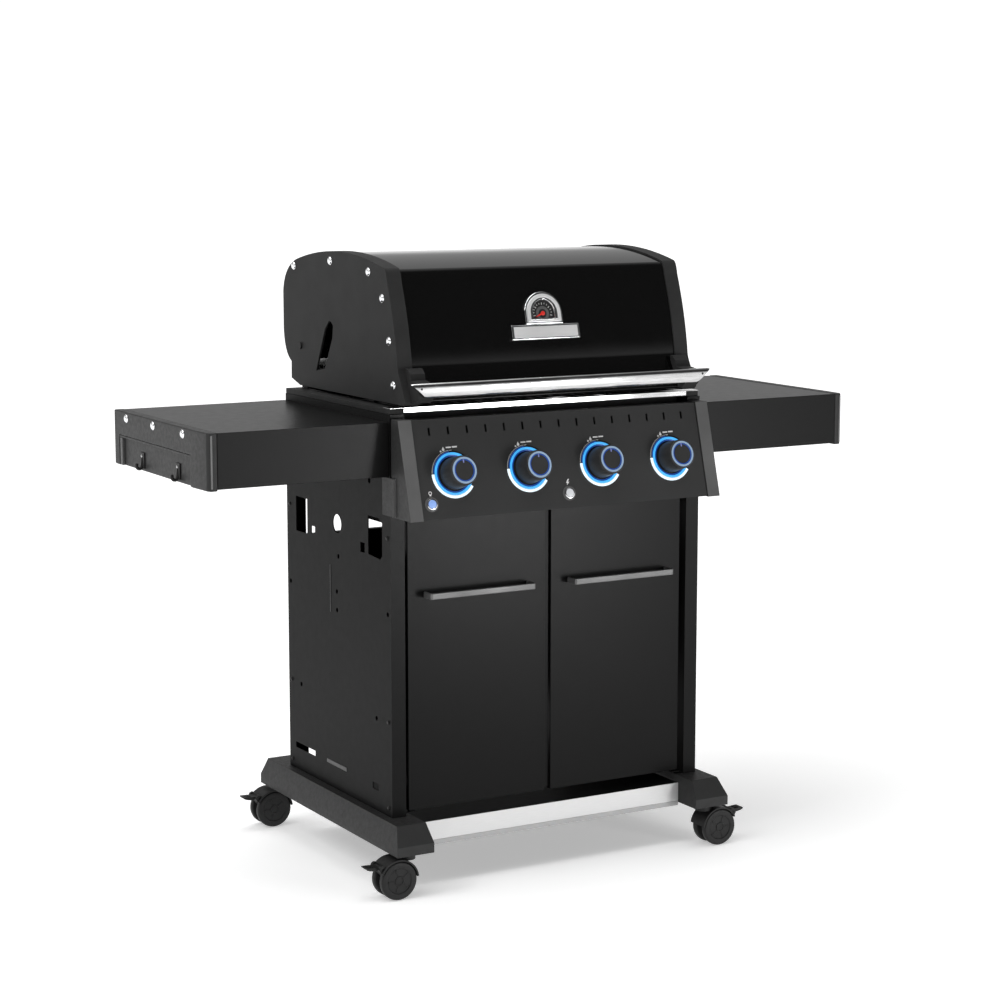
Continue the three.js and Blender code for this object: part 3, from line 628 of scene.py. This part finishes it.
def arch(half, low, centre):
    """An outline with a straight foot and a round top."""
    return [(-half, low), (half, low), *arc(0, centre, half, 0, 180, 40)]


def flat_on(matrix):
    """Places an outline of (right, up) millimetres at a height off a sloped face."""
    return lambda a, b, depth: matrix @ Vector((a * MM, b * MM, depth * MM))


def plate_on(matrix, name, outline, low, high, material, body, edge=0.0, holes=()):
    """A plate over an outline, with holes cut through it and its edges rounded."""
    place = flat_on(matrix)
    obj = new_object(name, prism(outline, low, high, place), material, body)
    for hole in holes:
        boolean(obj, new_object("hole", prism(hole, low - 1, high + 1, place), material))
    return rounded(obj, edge, 3) if edge else smooth(obj)


def gauge():
    """The housing with its window, a collar, a bezel, and a plain plate below."""
    window = arch(24.5, -6.3, 7.0)
    foot = [(-76.5, -47), (76.5, -47), (76.5, -18), (-76.5, -18)]
    outline = arch(42, -17, 5)
    housing = plate_on(GAUGE, "gauge_housing", outline, 0.3, 5.2, "chrome", None, 0.0014, [window])
    stands_for(housing, "temperature_gauge")
    collar, opening = arch(37.5, -13, 5), arch(30.5, -9, 5)
    plate_on(GAUGE, "gauge_collar", collar, 5.2, 8.6, "silver", "lid", 0.0012, [opening])
    bezel = arch(30.3, -8.8, 5)
    plate_on(GAUGE, "gauge_bezel", bezel, 5.2, 7.0, "chrome", "lid", 0.0006, [window])
    plate_on(GAUGE, "name_plate", foot, 0.3, 6.0, "chrome", "lid", 0.0014)
    inner = [(-72, -43.5), (72, -43.5), (72, -21.5), (-72, -21.5)]
    plate_on(GAUGE, "name_plate_panel", inner, 5.9, 6.6, "silver", "lid", 0.0003)
    dial(window)


TICK_RIM_MM = 21.5


def dial(window):
    """A dial with 13 ticks, every third one longer, a hub and a needle."""
    hub = (0.0, 4.5)
    plate_on(GAUGE, "gauge_dial", window, 0.4, 1.2, "dial", "lid")
    ticks = []
    for i in range(13):
        turn = radians(-12 + 17 * i)
        long = 4.5 if i % 3 == 0 else 2.8
        low = Vector((cos(turn), sin(turn))) * (TICK_RIM_MM - long)
        high = Vector((cos(turn), sin(turn))) * TICK_RIM_MM
        across_tick = Vector((-sin(turn), cos(turn))) * 0.55
        quad = [low - across_tick, high - across_tick, high + across_tick, low + across_tick]
        ticks.append(prism([(hub[0] + p.x, hub[1] + p.y) for p in quad], 1.2, 1.5, flat_on(GAUGE)))
    smooth(new_object("gauge_ticks", merged(*ticks), "print_white", "lid"))
    place = GAUGE @ Matrix.Translation((hub[0] * MM, hub[1] * MM, 0))
    for name, profile, material in (
        ("gauge_scale", [(9, 1.2), (14.5, 1.2), (14.5, 1.45), (9, 1.45)], "trim"),
        ("gauge_hub", [(0, 1.2), (4.4, 1.2), (4.4, 3.2), (3.4, 4.0), (0, 4.0)], "red"),
    ):
        ring = lathe(in_mm(profile), 48, place)
        smooth(new_object(name, ring, material, "lid"), 50)
    needle = [(-3.5, 1.2), (-16.5, -6.4), (-16.0, -7.2), (-1.5, -2.4)]
    outline = [(hub[0] + a, hub[1] + b) for a, b in needle]
    plate_on(GAUGE, "gauge_needle", outline, 2.2, 3.0, "red", "lid")


# ---- Console: knobs with light rings, buttons and printed marks ----
CONSOLE_FOOT = (0, -0.3024, 0.7344)
CONSOLE_LEAN = atan2(51.3, 183.8)
BURNER_X_MM = (-246, -82, 82, 246)
KNOB_UP_MM = 83.7
BUTTON_UP_MM = 28.7
LIGHT_X_MM = -300.9
IGNITER_X_MM = 2.0


def on_console(x, up):
    """A place on the console's face, with its own Z pointing out of the face and Y up the slope."""
    lean = Matrix.Rotation(-CONSOLE_LEAN, 4, "X")
    along = Matrix.Translation((x * MM, 0, up * MM))
    return Matrix.Translation(CONSOLE_FOOT) @ lean @ along @ Matrix.Rotation(radians(90), 4, "X")


def turned_piece(name, profile, matrix, material, body):
    bm = lathe(in_mm(profile), 64, matrix)
    return smooth(new_object(name, bm, material, body), 40)


def arc_plate(name, matrix, inner, outer, start, end, low, high, material, edge=0.0):
    outline = arc(0, 0, outer, start, end, 48) + arc(0, 0, inner, end, start, 48)
    return plate_on(matrix, name, outline, low, high, material, "cart", edge)


KNOB_BODY_MM = [
    (4.4, 6), (31, 6), (31.1, 8), (30.4, 11), (28.9, 42.5), (28.3, 45.2), (27.2, 46.6), (26, 47),
    (25.6, 46.2), (21.6, 46.2), (21.3, 45.4), (19.2, 45.4), (18.9, 46.0), (0, 45.8), (0, 33), (4.4, 33),
]
KNOB_RINGS_MM = (
    ("lit_ring", "ring_glow", [(21.7, 46.1), (25.5, 46.1), (25.4, 46.9), (21.8, 46.9)]),
    ("inner_ring", "deep_glow", [(19.3, 45.3), (21.2, 45.3), (21.2, 46.2), (19.3, 46.2)]),
)
PANEL_RINGS_MM = (
    ("bezel", "black", [(31.8, 0.05), (45.0, 0.05), (44.8, 1.5), (41.2, 2.2), (36.2, 1.4), (31.8, 1.0)]),
    ("halo", "blue_glow", [(36.4, 1.2), (41.4, 1.2), (41.0, 3.0), (39.0, 3.4), (36.8, 3.0)]),
    ("halo_shade", "deep_glow", [(33.4, 1.0), (36.3, 1.0), (36.2, 2.4), (33.6, 2.0)]),
)
TICK_MM = [(-1.2, 14.5), (1.2, 14.5), (1.2, 21.0), (-1.2, 21.0)]


def knob(number, x):
    """A knob with two light rings and a tick, and the rings and arcs on the panel round it."""
    name = f"knob_{number}"
    at = on_console(x, KNOB_UP_MM)
    stands_for(turned_piece(f"{name}_grip", KNOB_BODY_MM, at, "knob", None), name)
    for label, material, profile in KNOB_RINGS_MM:
        turned_piece(f"{name}_{label}", profile, at, material, name)
    plate_on(at, f"{name}_tick", TICK_MM, 45.8, 46.5, "tick", name)
    for label, material, profile in PANEL_RINGS_MM:
        turned_piece(f"{name}_{label}", profile, at, material, "cart")
    arc_plate(f"{name}_heat_arc", at, 41.5, 46.8, 178, 325, 0.2, 2.6, "white_glow", 0.0006)
    arc_plate(f"{name}_cool_arc", at, 41.6, 43.6, 96, 176, 0.2, 2.6, "deep_glow", 0.0006)
    arc_plate(f"{name}_low_arc", at, 45.0, 46.2, 96, 176, 0.2, 1.6, "print_grey")
    knob_marks(number, at)


PRINT_MM = 0.2
FLAME_MM = [
    (0, 5.2), (-1.4, 2.6), (-2.8, 0.4), (-2.5, -1.9), (-1.1, -3.2), (1.2, -3.2), (2.6, -1.6), (2.5, 0.6),
    (1.1, 2.2),
]


def knob_marks(number, at):
    """Printed marks round a knob: a flame, two bars, an arrow on the low arc and a dot."""
    outlines = (
        [(a - 15, b + 48) for a, b in FLAME_MM],
        [(-9, 50), (2, 50), (2, 52.6), (-9, 52.6)],
        [(4, 50.4), (15, 50.4), (15, 53), (4, 53)],
        [(-3, 46), (0, 41.8), (3, 46)],
        arc(-21, 44.5, 1.8, 0, 350, 14),
    )
    marks = [prism(outline, 0, PRINT_MM, flat_on(at)) for outline in outlines]
    smooth(new_object(f"knob_{number}_marks", merged(*marks), "print_white", "cart"))


BUTTON_MM = {
    "cap": [(0, -9), (11, -9), (11, 2.4), (10.6, 3.4), (9.4, 4), (8.6, 4), (8.4, 3.6), (0, 3.6)],
    "lens": [(0, 3.6), (8.3, 3.6), (7.2, 4.5), (4, 5.1), (0, 5.3)],
    "collar": [(11.4, 0.05), (14.2, 0.05), (14.0, 1.2), (13.0, 1.9), (11.9, 1.9), (11.4, 1.4)],
}


def push_button(name, x, lens):
    """A chrome cap with a lit lens, which move together, in a collar on the panel."""
    at = on_console(x, BUTTON_UP_MM)
    cap = turned_piece(f"{name}_cap", BUTTON_MM["cap"], at, "chrome", None)
    stands_for(cap, f"{name}_button")
    turned_piece(f"{name}_lens", BUTTON_MM["lens"], at, lens, f"{name}_button")
    turned_piece(f"{name}_collar", BUTTON_MM["collar"], at, "trim", "cart")


def console_details():
    for i, x in enumerate(BURNER_X_MM):
        knob(i + 1, x)
    push_button("light", LIGHT_X_MM, "blue_lens")
    push_button("igniter", IGNITER_X_MM, "white_lens")
    bulb = arc(0, 21.5, 3.6, -60, 240, 24) + [(-1.6, 16), (1.6, 16)]
    hole = arc(0, 21.5, 2.3, 0, 345, 24)
    at = on_console(LIGHT_X_MM, BUTTON_UP_MM)
    plate_on(at, "light_mark", bulb, 0, PRINT_MM, "print_white", "cart", 0, [hole])
    bolt = [(1, 28), (-4, 20.5), (-1, 20.5), (-2.6, 15.5), (4, 22.5), (0.8, 22.5), (3.8, 28)]
    at = on_console(IGNITER_X_MM, BUTTON_UP_MM)
    plate_on(at, "igniter_mark", bolt, 0, PRINT_MM, "print_white", "cart")


# ---- Side shelves: end caps with bolts and tool hooks ----
CAP_FACE_MM = 724.0
CAP_BOLT_Y_MM = (179.8, 39.7, -108.4)
CAP_BOLT_Z = 0.902
HOOK_Y_MM = (110, -71)
HOOK_PLATE = {"deep": 0.0026, "half_mm": 10, "low": 0.812, "high": 0.843}
HOOK_WIRE = 0.0032
HOOK_BEND = {"radius": 0.0056, "out": 0.0082, "z": 0.8165}
HOOK_STUD = [(0, 0), (0.0032, 0), (0.0030, 0.0012), (0.0018, 0.0019), (0, 0.0021)]


def tube(points, radius, segments=16):
    """A round rod along a path."""
    bm = bmesh.new()
    rings = []
    path = [Vector(point) for point in points]
    for i, point in enumerate(path):
        heading = (path[min(i + 1, len(path) - 1)] - path[max(i - 1, 0)]).normalized()
        if rings:
            side = (side - heading * side.dot(heading)).normalized()
        else:
            side = heading.orthogonal().normalized()
        up = heading.cross(side)
        turn = [2 * pi * k / segments for k in range(segments)]
        rings.append(loop_of(bm, [point + radius * (cos(t) * side + sin(t) * up) for t in turn]))
    for low, high in zip(rings, rings[1:]):
        bridge(bm, low, high)
    bm.faces.new(rings[0])
    bm.faces.new(rings[-1])
    return bm


def tool_hook(name, sign, y):
    """A hook on a small plate, hanging in the recess of the cap."""
    face = sign * (CAP_FACE_MM - 6) * MM
    side, bend = HOOK_PLATE, HOOK_BEND
    low = (face, (y - side["half_mm"]) * MM, side["low"])
    high = (face + sign * side["deep"], (y + side["half_mm"]) * MM, side["high"])
    rounded(new_object(f"{name}_plate", block(low, high), "black", "cart"), 0.0008)
    path = [(face + sign * 0.001, y * MM, 0.832), (face + sign * 0.002, y * MM, 0.822)]
    for out, up in arc(bend["out"], bend["z"], bend["radius"], 180, 360, 12):
        path.append((face + sign * out, y * MM, up))
    path.append((face + sign * 0.0138, y * MM, 0.8215))
    smooth(new_object(f"{name}_hook", tube(path, HOOK_WIRE), "black", "cart"), 60)
    # A light steel stud on the hook's plate; its light colour is partly a painted highlight.
    at = facing(face + sign * side["deep"], y * MM, 0.836, (sign, 0, 0))
    smooth(new_object(f"{name}_stud", lathe(HOOK_STUD, 24, at), "steel", "cart"), 50)


# The recess in a cap's face: its floor, its ends and its top edge.
RECESS = {"floor": 0.718, "front": -0.141, "rear": 0.221, "top": 0.866, "low": 0.8065}
# The narrow lighter strip along the front edge of the right cap, a painted highlight of that edge: its
# low inner and high outer corner.
CAP_EDGE_HIGHLIGHT = ((0.7125, -0.2212, 0.811), (0.7158, -0.2190, 0.909))


def recess_details(name, sign):
    """A thin black strip under the top of the recess, which is painted shadow of its step, and a lighter
    strip at its rear end, which is a painted highlight of the end wall catching light.
    """
    r = RECESS
    inner = r["floor"] - 0.0005
    high = (r["floor"] + 0.0053, r["rear"], r["top"] - 0.0002)
    # Painted shadow: a black strip under the recess's top edge.
    shade_strip = side_block(sign, (inner, r["front"], r["top"] - 0.0042), high)
    rounded(new_object(f"recess_shadow_strip_{name}", shade_strip, "black", "cart"), 0.0005)
    high = (r["floor"] + 0.0050, r["rear"] - 0.001, r["top"] - 0.005)
    # Painted highlight: a lighter strip on the recess's rear end wall.
    lit_end_strip = side_block(sign, (inner, r["rear"] - 0.012, r["low"]), high)
    rounded(new_object(f"recess_lit_end_{name}", lit_end_strip, "trim", "cart"), 0.0010)


def shelf_details():
    for name, sign in SIDES:
        softened(f"shelf_cap_{name}", "cap", 0.0026, 3)
        recess_details(name, sign)
        # Painted highlight: a lighter strip along each cap's front edge.
        strip = side_block(sign, *CAP_EDGE_HIGHLIGHT)
        rounded(new_object(f"shelf_cap_edge_highlight_{name}", strip, "edge", "cart"), 0.0008, 3)
        for i, y in enumerate(CAP_BOLT_Y_MM):
            at = facing(sign * CAP_FACE_MM * MM, y * MM, CAP_BOLT_Z, (sign, 0, 0))
            head = lathe(dome_bolt(), BOLT_SEGMENTS, at)
            smooth(new_object(f"shelf_bolt_{name}_{i + 1}", head, "chrome", "cart"), 50)
        for i, y in enumerate(HOOK_Y_MM):
            tool_hook(f"tool_hook_{name}_{i + 1}", sign, y)


# ---- Door handles, casters and the warming rack ----
CASTER_RADIUS_MM = 38
CASTER_X = 0.372
CASTER_Y = {"front": -0.269, "rear": 0.308}
STEM_X_MM = -27
PEDAL_PIN_MM = (34, 27)
WHEEL_SIDE_MM = [
    (0, 22.6), (7, 22.6), (7.6, 23.8), (9.4, 23.8), (10, 22.4), (24, 21.8), (26, 23.4), (32, 23.9),
    (35.6, 23.0), (37.5, 21.0), (38, 18.5), (38, 13.5), (37.3, 11.0), (35.4, 9.4), (33, 9), (4, 9),
]
SPOKES = 5
SPOKE_MM = [(10, -1.2), (23.6, -1.2), (23.6, 1.2), (10, 1.2)]
FINGER_SLOT_MM = [(34, 11), (65, 11), (65, 34), (34, 34)]
TREAD_MM = [
    (34, 25), (48, 24), (58, 25.5), (64, 28), (65.2, 30), (64.4, 31.2), (57, 31), (46, 30), (34, 31),
]
GRIP_X_MM = (50, 54, 58)


def caster_place(sign, end):
    """A caster's own frame: X away from its stem, origin in the middle of the axle."""
    turn = Matrix.Rotation(pi if sign < 0 else 0.0, 4, "Z")
    return Matrix.Translation((sign * CASTER_X, CASTER_Y[end], CASTER_RADIUS_MM * MM)) @ turn


def upright(matrix):
    """Places an outline of (x, z) millimetres at a distance along Y in a caster's frame."""
    return lambda a, b, depth: matrix @ Vector((a * MM, depth * MM, b * MM))


def pin(matrix, radius, low, high, x=0.0, z=0.0, along="Y"):
    """A plain cylinder of 32 sides, in millimetres along Y or Z of a frame."""
    outline = arc(x, z, radius, 0, 360 - 360 / 32, 31)
    return prism(outline, low, high, upright(matrix) if along == "Y" else flat_on(matrix))


def caster_hood(name, at):
    """A fender over the twin wheel, with its boss and stem, and ears that hold the pedal's pin."""
    fender = arc(0, 0, 42, 28, 172, 40) + [(-14, -8), (14, -8)]
    hood = new_object(f"caster_fender_{name}", prism(fender, -24, 24, upright(at)), "wheel")
    boolean(hood, new_object("boss", pin(at, 17, 36, 49.5, STEM_X_MM, 0, "Z"), "wheel"), "UNION")
    boolean(hood, new_object("ear", pin(at, 7, -20, 20, *PEDAL_PIN_MM), "wheel"), "UNION")
    cuts = [
        pin(at, 39, -25, -8.7),
        pin(at, 39, 8.7, 25),
        pin(at, 6, -12.5, 12.5, *PEDAL_PIN_MM),
        prism(FINGER_SLOT_MM, -12.5, 12.5, upright(at)),
        pin(at, 2.4, -21, 21, *PEDAL_PIN_MM),
        pin(at, 4.4, -9, 9),
    ]
    for i, cut in enumerate(cuts):
        boolean(hood, new_object(f"hood_cut_{i}", cut, "wheel"))
    boolean(hood, new_object("stem", pin(at, 5.5, 40, 78, STEM_X_MM, 0, "Z"), "wheel"), "UNION")
    rounded(hood, 0.0009, 2, 40.0)
    stands_for(hood, f"caster_hood_{name}")
    washer = pin(at, 11, 49.6, 52.5, STEM_X_MM, 0, "Z")
    ring = new_object(f"caster_washer_{name}", washer, "steel", f"caster_{name}")
    rounded(ring, 0.0005)


def caster_wheel(name, at):
    """A twin wheel on one axle, with low spokes on both outer faces."""
    side = in_mm(WHEEL_SIDE_MM)
    profile = side + [(r, -z) for r, z in reversed(side)]
    axle = at @ Matrix.Rotation(radians(90), 4, "X")
    wheel = new_object(f"twin_wheel_{name}", lathe(profile, 64, axle), "wheel")
    smooth(wheel, 30)
    stands_for(wheel, f"caster_wheel_{name}")
    for label, facing_out in (("front", 1), ("back", -1)):
        spokes = []
        for k in range(SPOKES):
            step = Matrix.Rotation(radians(360 / SPOKES * k), 4, "Z")
            turn = axle @ step @ Matrix.Diagonal((1, 1, facing_out, 1))
            spokes.append(prism(SPOKE_MM, 20.5, 23.0, flat_on(turn)))
        piece = f"wheel_ribs_{name}_{label}"
        rounded(new_object(piece, merged(*spokes), "wheel", f"wheel_{name}"), 0.0004)


def caster_brake(name, at):
    """A pedal on its pin, with three grip ribs on the tread."""
    pedal = new_object(f"brake_tread_{name}", prism(TREAD_MM, -12, 12, upright(at)), "wheel")
    boolean(pedal, new_object("hub", pin(at, 5, -12, 12, *PEDAL_PIN_MM), "wheel"), "UNION")
    boolean(pedal, new_object("pivot", pin(at, 2, -19, 19, *PEDAL_PIN_MM), "wheel"), "UNION")
    rounded(pedal, 0.0009, 2)
    stands_for(pedal, f"caster_brake_{name}")
    ribs = []
    for x in GRIP_X_MM:
        ribs.append(block(((x - 0.7) * MM, -0.009, 0.0300), ((x + 0.7) * MM, 0.009, 0.0320)))
    grip = merged(*ribs)
    grip.transform(at)
    rounded(new_object(f"brake_grip_{name}", grip, "wheel", f"brake_{name}"), 0.0003)


def casters():
    for name, sign, end in CASTERS:
        at = caster_place(sign, end)
        caster_hood(name, at)
        caster_wheel(name, at)
        caster_brake(name, at)


def door_handles():
    for name, _ in SIDES:
        softened(f"door_handle_{name}", "handle", 0.0014, 3)


RACK_MM = {"half": 270, "front": -20, "rear": 122, "deck": 1045, "wire": 3, "lines": 6, "foot": 911.6}


def warming_rack():
    """Round plated wires: straight cross wires, side wires and legs, each a separate rod."""
    r = RACK_MM
    rods = []
    pitch = (r["rear"] - r["front"] - 2 * r["wire"]) / (r["lines"] - 1)
    for i in range(r["lines"]):
        y = r["front"] + r["wire"] + i * pitch
        rods.append([(-r["half"], y, r["deck"]), (r["half"], y, r["deck"])])
    for x in (-r["half"], r["half"]):
        rods.append([(x, r["front"], r["deck"]), (x, r["rear"], r["deck"])])
        for y in (r["front"] + 20, r["rear"] - 20):
            rods.append([(x, y, r["foot"]), (x, y, r["deck"])])
    tubes = [tube([tuple(c * MM for c in point) for point in rod], r["wire"] * MM) for rod in rods]
    stands_for(smooth(new_object("rack_wires", merged(*tubes), "chrome"), 60), "warming_rack")


# ---- Cabinet sides: a slot shown by a thin black strip, which is painted shade, a pressing shown by a thin lighter strip, and screws ----
PANEL_FACE = 0.353
SCREWS_MM = [(-212, 690), (-212, 330), (-212, 160), (230, 700), (230, 330), (230, 160)]
SCREW_HEAD = [(0, 0), (0.0042, 0), (0.0042, 0.0010), (0.0030, 0.0022), (0, 0.0026)]


def screw_head(x, y, z, direction):
    return lathe(SCREW_HEAD, 20, facing(x, y, z, direction))


def side_details():
    inner = PANEL_FACE - 0.001
    for name, sign in SIDES:
        # Painted shade: a thin black strip stands in for the slot.
        shade_strip = side_block(sign, (inner, 0.038, 0.505), (PANEL_FACE + 0.0006, 0.042, 0.601))
        rounded(new_object(f"panel_slot_shade_{name}", shade_strip, "black", "cart"), 0.0002)
        strip = side_block(sign, (inner, -0.027, 0.190), (PANEL_FACE + 0.0012, 0.063, 0.198))
        rounded(new_object(f"panel_strip_{name}", strip, "trim", "cart"), 0.0006)
        heads = [screw_head(sign * PANEL_FACE, y * MM, z * MM, (sign, 0, 0)) for y, z in SCREWS_MM]
        smooth(new_object(f"panel_screws_{name}", merged(*heads), "black", "cart"), 50)


# ---- Burner ports, and the rear panel's screws and ribs ----
BURNER_RADIUS_MM = 12.5
BURNER_AXIS_MM = 800
PORT = [(0, 0), (0.0016, 0), (0.0016, 0.0003), (0, 0.0003)]
PORT_TILT = radians(38)
PORT_Y_MM = range(-150, 188, 13)


def burner_details():
    """Rows of gas ports along both upper flanks of each burner, each a thin black disc that is painted
    shade for the opening, and a crimped seam below.
    """
    for number, x in enumerate(BURNER_X_MM, 1):
        ports = []
        for side in (-1, 1):
            outward = Vector((side * cos(PORT_TILT), 0, sin(PORT_TILT)))
            for y in PORT_Y_MM:
                spot = Vector((x, y, BURNER_AXIS_MM)) + outward * (BURNER_RADIUS_MM - 0.1)
                # Painted shade: each port is a thin black disc, not a hole.
                ports.append(lathe(PORT, 10, facing(*(spot * MM), outward)))
        body = body_of(f"burner_{number}")
        smooth(new_object(f"burner_ports_{number}", merged(*ports), "black", body), 50)
        seam = block(((x - 1) * MM, -0.19, 0.7845), ((x + 1) * MM, 0.20, 0.7880))
        rounded(new_object(f"burner_seam_{number}", seam, "heated", body), 0.0003)


REAR_FACE = 0.2417
REAR_SCREW_X = (-0.33, -0.11, 0.11, 0.33)
REAR_SCREW_Z = (0.235, 0.615)
REAR_RIB = {"half": 0.27, "half_high": 0.006, "deep": 0.0018}
REAR_RIB_Z = (0.33, 0.42, 0.51)


def rear_details():
    heads = [screw_head(x, REAR_FACE, z, (0, 1, 0)) for x in REAR_SCREW_X for z in REAR_SCREW_Z]
    smooth(new_object("rear_screws", merged(*heads), "steel", "cart"), 50)
    ribs = []
    for z in REAR_RIB_Z:
        low = (-REAR_RIB["half"], REAR_FACE - 0.0005, z - REAR_RIB["half_high"])
        high = (REAR_RIB["half"], REAR_FACE + REAR_RIB["deep"], z + REAR_RIB["half_high"])
        ribs.append(block(low, high))
    rounded(new_object("rear_ribs", merged(*ribs), "cabinet", "cart"), 0.0014, 3)


# ---- Plain CAD nodes: rounded edges and a finish each ----
PLAIN = {
    "cabinet": ["rear_panel"],
    "door": ["door_left", "door_right"],
    "shelf": ["shelf_left", "shelf_right"],
    "console": ["console"],
    "plastic": ["base_rail_left", "base_rail_right"],
    "casting": ["firebox"],
    "bar": ["front_trim"],
    "steel": ["drip_tray"],
    "heated": [f"heat_tent_{i}" for i in range(1, 5)] + [f"burner_{i}" for i in range(1, 5)],
    "brass": ["gas_manifold"],
    "iron": ["cooking_grid_left", "cooking_grid_right"],
}
EDGE = {"plastic": 0.004, "iron": 0.0015, "casting": 0.0015}
THIN_EDGE = 0.0007


def plain_nodes():
    for material, nodes in PLAIN.items():
        for node in nodes:
            softened(node, material, EDGE.get(material, THIN_EDGE))


def split_front_finish(node, material, front_material, front_y, width):
    """Rounds a CAD node, and gives its forward faces in front of front_y a material of their own."""
    obj = softened(node, material, width)
    obj.data.materials.append(MATERIAL[front_material])
    for face in obj.data.polygons:
        front = face.normal.y < -0.6 and face.center.y < front_y
        face.material_index = 1 if front else 0


def split_front_nodes():
    for name, _ in SIDES:
        # The console trims' forward faces get the lighter trim plastic: a painted lit front beside their
        # darker sides.
        split_front_finish(f"console_trim_{name}", "plastic", "trim", -0.24, 0.0015)
        split_front_finish(f"side_panel_{name}", "cabinet", "door", -0.19, THIN_EDGE)


def bottom_shelf():
    """Black on top, with a silver front face, and a narrow darker grey strip along the foot of that
    face, which is painted shade.
    """
    shelf = softened("bottom_shelf", "cabinet", 0.0006)
    shelf.data.materials.append(MATERIAL["silver"])
    low = shelf.matrix_world @ Vector(shelf.bound_box[0])
    high = shelf.matrix_world @ Vector(shelf.bound_box[6])
    for face in shelf.data.polygons:
        face.material_index = 1 if face.normal.y < -0.3 and face.center.y < low.y + 0.001 else 0
    # Painted shade: a darker grey strip over the foot of the silver face.
    foot = (low.x + 0.001, low.y - 0.0012, low.z + 0.0002)
    shade_band = block(foot, (high.x - 0.001, low.y + 0.002, low.z + 0.010))
    rounded(new_object("bottom_shelf_shade_band", shade_band, "shade_band", "cart"), 0.0008)


def valve_stems():
    for number in range(1, 5):
        softened(f"valve_stem_{number}", "steel", 0.0003)


# ---- Floor, light and camera ----
FLOOR_LIFT = (0.38, 0.80)  # the glow of the floor near the grill and far away, as on a light table
FLOOR_NEAR, FLOOR_FAR = 1.0, 5.0
SKY = {"front": 0.05, "back": 0.45, "top": 0.8, "horizon": 1.05}
# Each light: its name, its place, the point that it faces, its sides and its power in watts.
AREA_LIGHTS = (
    ("overhead", (-0.4, 0.1, 3.6), (0, 0, 0.9), (3.4, 2.2), 56),
    ("left_key", (-3.0, -0.4, 3.5), (-0.2, 0, 0.9), (1.6, 1.8), 52),
    ("front_panel", (1.42, -3.0, 0.46), (0.0, -0.2, 0.6), (0.6, 0.8), 29),
)
# The photo's camera: its place, its turn down and to the right in degrees, and its lens.
CAMERA_PLACE = (-2.3991, -4.2371, 1.4342)
CAMERA_DOWN, CAMERA_RIGHT = 8.451, 29.674
SENSOR_MM, LENS_MM = 36.0, 86.32


def floor():
    bm = bmesh.new()
    bmesh.ops.create_grid(bm, x_segments=1, y_segments=1, size=40.0)
    mesh = bpy.data.meshes.new("floor")
    bm.to_mesh(mesh)
    bm.free()
    obj = bpy.data.objects.new("floor", mesh)
    bpy.context.scene.collection.objects.link(obj)
    g = Graph("pale_floor")
    distance = g.node("VectorMath", {0: g.coords}, operation="LENGTH").outputs["Value"]
    lift = g.spread(distance, *FLOOR_LIFT, FLOOR_NEAR, FLOOR_FAR)
    g.set(Base_Color=rgba(0.90), Roughness=0.9, Specular_IOR_Level=0.1)
    g.set(Emission_Color=rgba(1.0), Emission_Strength=lift)
    obj.data.materials.append(g.material)


def area_light(name, place, target, size, power):
    light = bpy.data.lights.new(name, "AREA")
    light.shape = "RECTANGLE"
    light.size, light.size_y = size
    light.energy = power
    obj = bpy.data.objects.new(name, light)
    obj.location = place
    obj.rotation_euler = (Vector(target) - Vector(place)).to_track_quat("-Z", "Y").to_euler()
    bpy.context.scene.collection.objects.link(obj)


def sky(world):
    """A dome of light with a white horizon: brighter behind and above the grill than in front."""
    tree = world.node_tree
    direction = tree.nodes.new("ShaderNodeTexCoord").outputs["Generated"]
    split = tree.nodes.new("ShaderNodeSeparateXYZ")
    tree.links.new(direction, split.inputs[0])

    def ramp(axis, start, end, low, high):
        node = tree.nodes.new("ShaderNodeMapRange")
        node.interpolation_type = "SMOOTHSTEP"
        tree.links.new(split.outputs[axis], node.inputs["Value"])
        for name, number in (("From Min", start), ("From Max", end), ("To Min", low), ("To Max", high)):
            node.inputs[name].default_value = number
        return node.outputs["Result"]

    dome = tree.nodes.new("ShaderNodeMath")
    tree.links.new(ramp("Y", -0.6, 0.5, SKY["front"], SKY["back"]), dome.inputs[0])
    tree.links.new(ramp("Z", 0.72, 0.98, 0.0, SKY["top"]), dome.inputs[1])
    mix = tree.nodes.new("ShaderNodeMix")
    tree.links.new(ramp("Z", 0.07, 0.22, 0.0, 1.0), mix.inputs["Factor"])
    mix.inputs["A"].default_value = SKY["horizon"]
    tree.links.new(dome.outputs[0], mix.inputs["B"])
    background = tree.nodes["Background"]
    tree.links.new(mix.outputs["Result"], background.inputs["Strength"])
    background.inputs["Color"].default_value = rgba(1.0)


def studio():
    world = bpy.data.worlds.new("studio")
    bpy.context.scene.world = world
    world.use_nodes = True
    sky(world)
    for light in AREA_LIGHTS:
        area_light(*light)
    bpy.context.scene.view_settings.view_transform = "Standard"


def camera():
    data = bpy.data.cameras.new("camera")
    data.sensor_width = SENSOR_MM
    data.lens = LENS_MM
    obj = bpy.data.objects.new("camera", data)
    obj.location = CAMERA_PLACE
    obj.rotation_euler = (radians(90 - CAMERA_DOWN), 0, radians(-CAMERA_RIGHT))
    bpy.context.scene.collection.objects.link(obj)
    bpy.context.scene.camera = obj


camera()
floor()
studio()
bottom_shelf()
plain_nodes()
split_front_nodes()
for name, sign in SIDES:
    lid_end(name, sign)
lid_shell()
lid_handle()
gauge()
console_details()
shelf_details()
door_handles()
casters()
warming_rack()
side_details()
burner_details()
rear_details()
valve_stems()
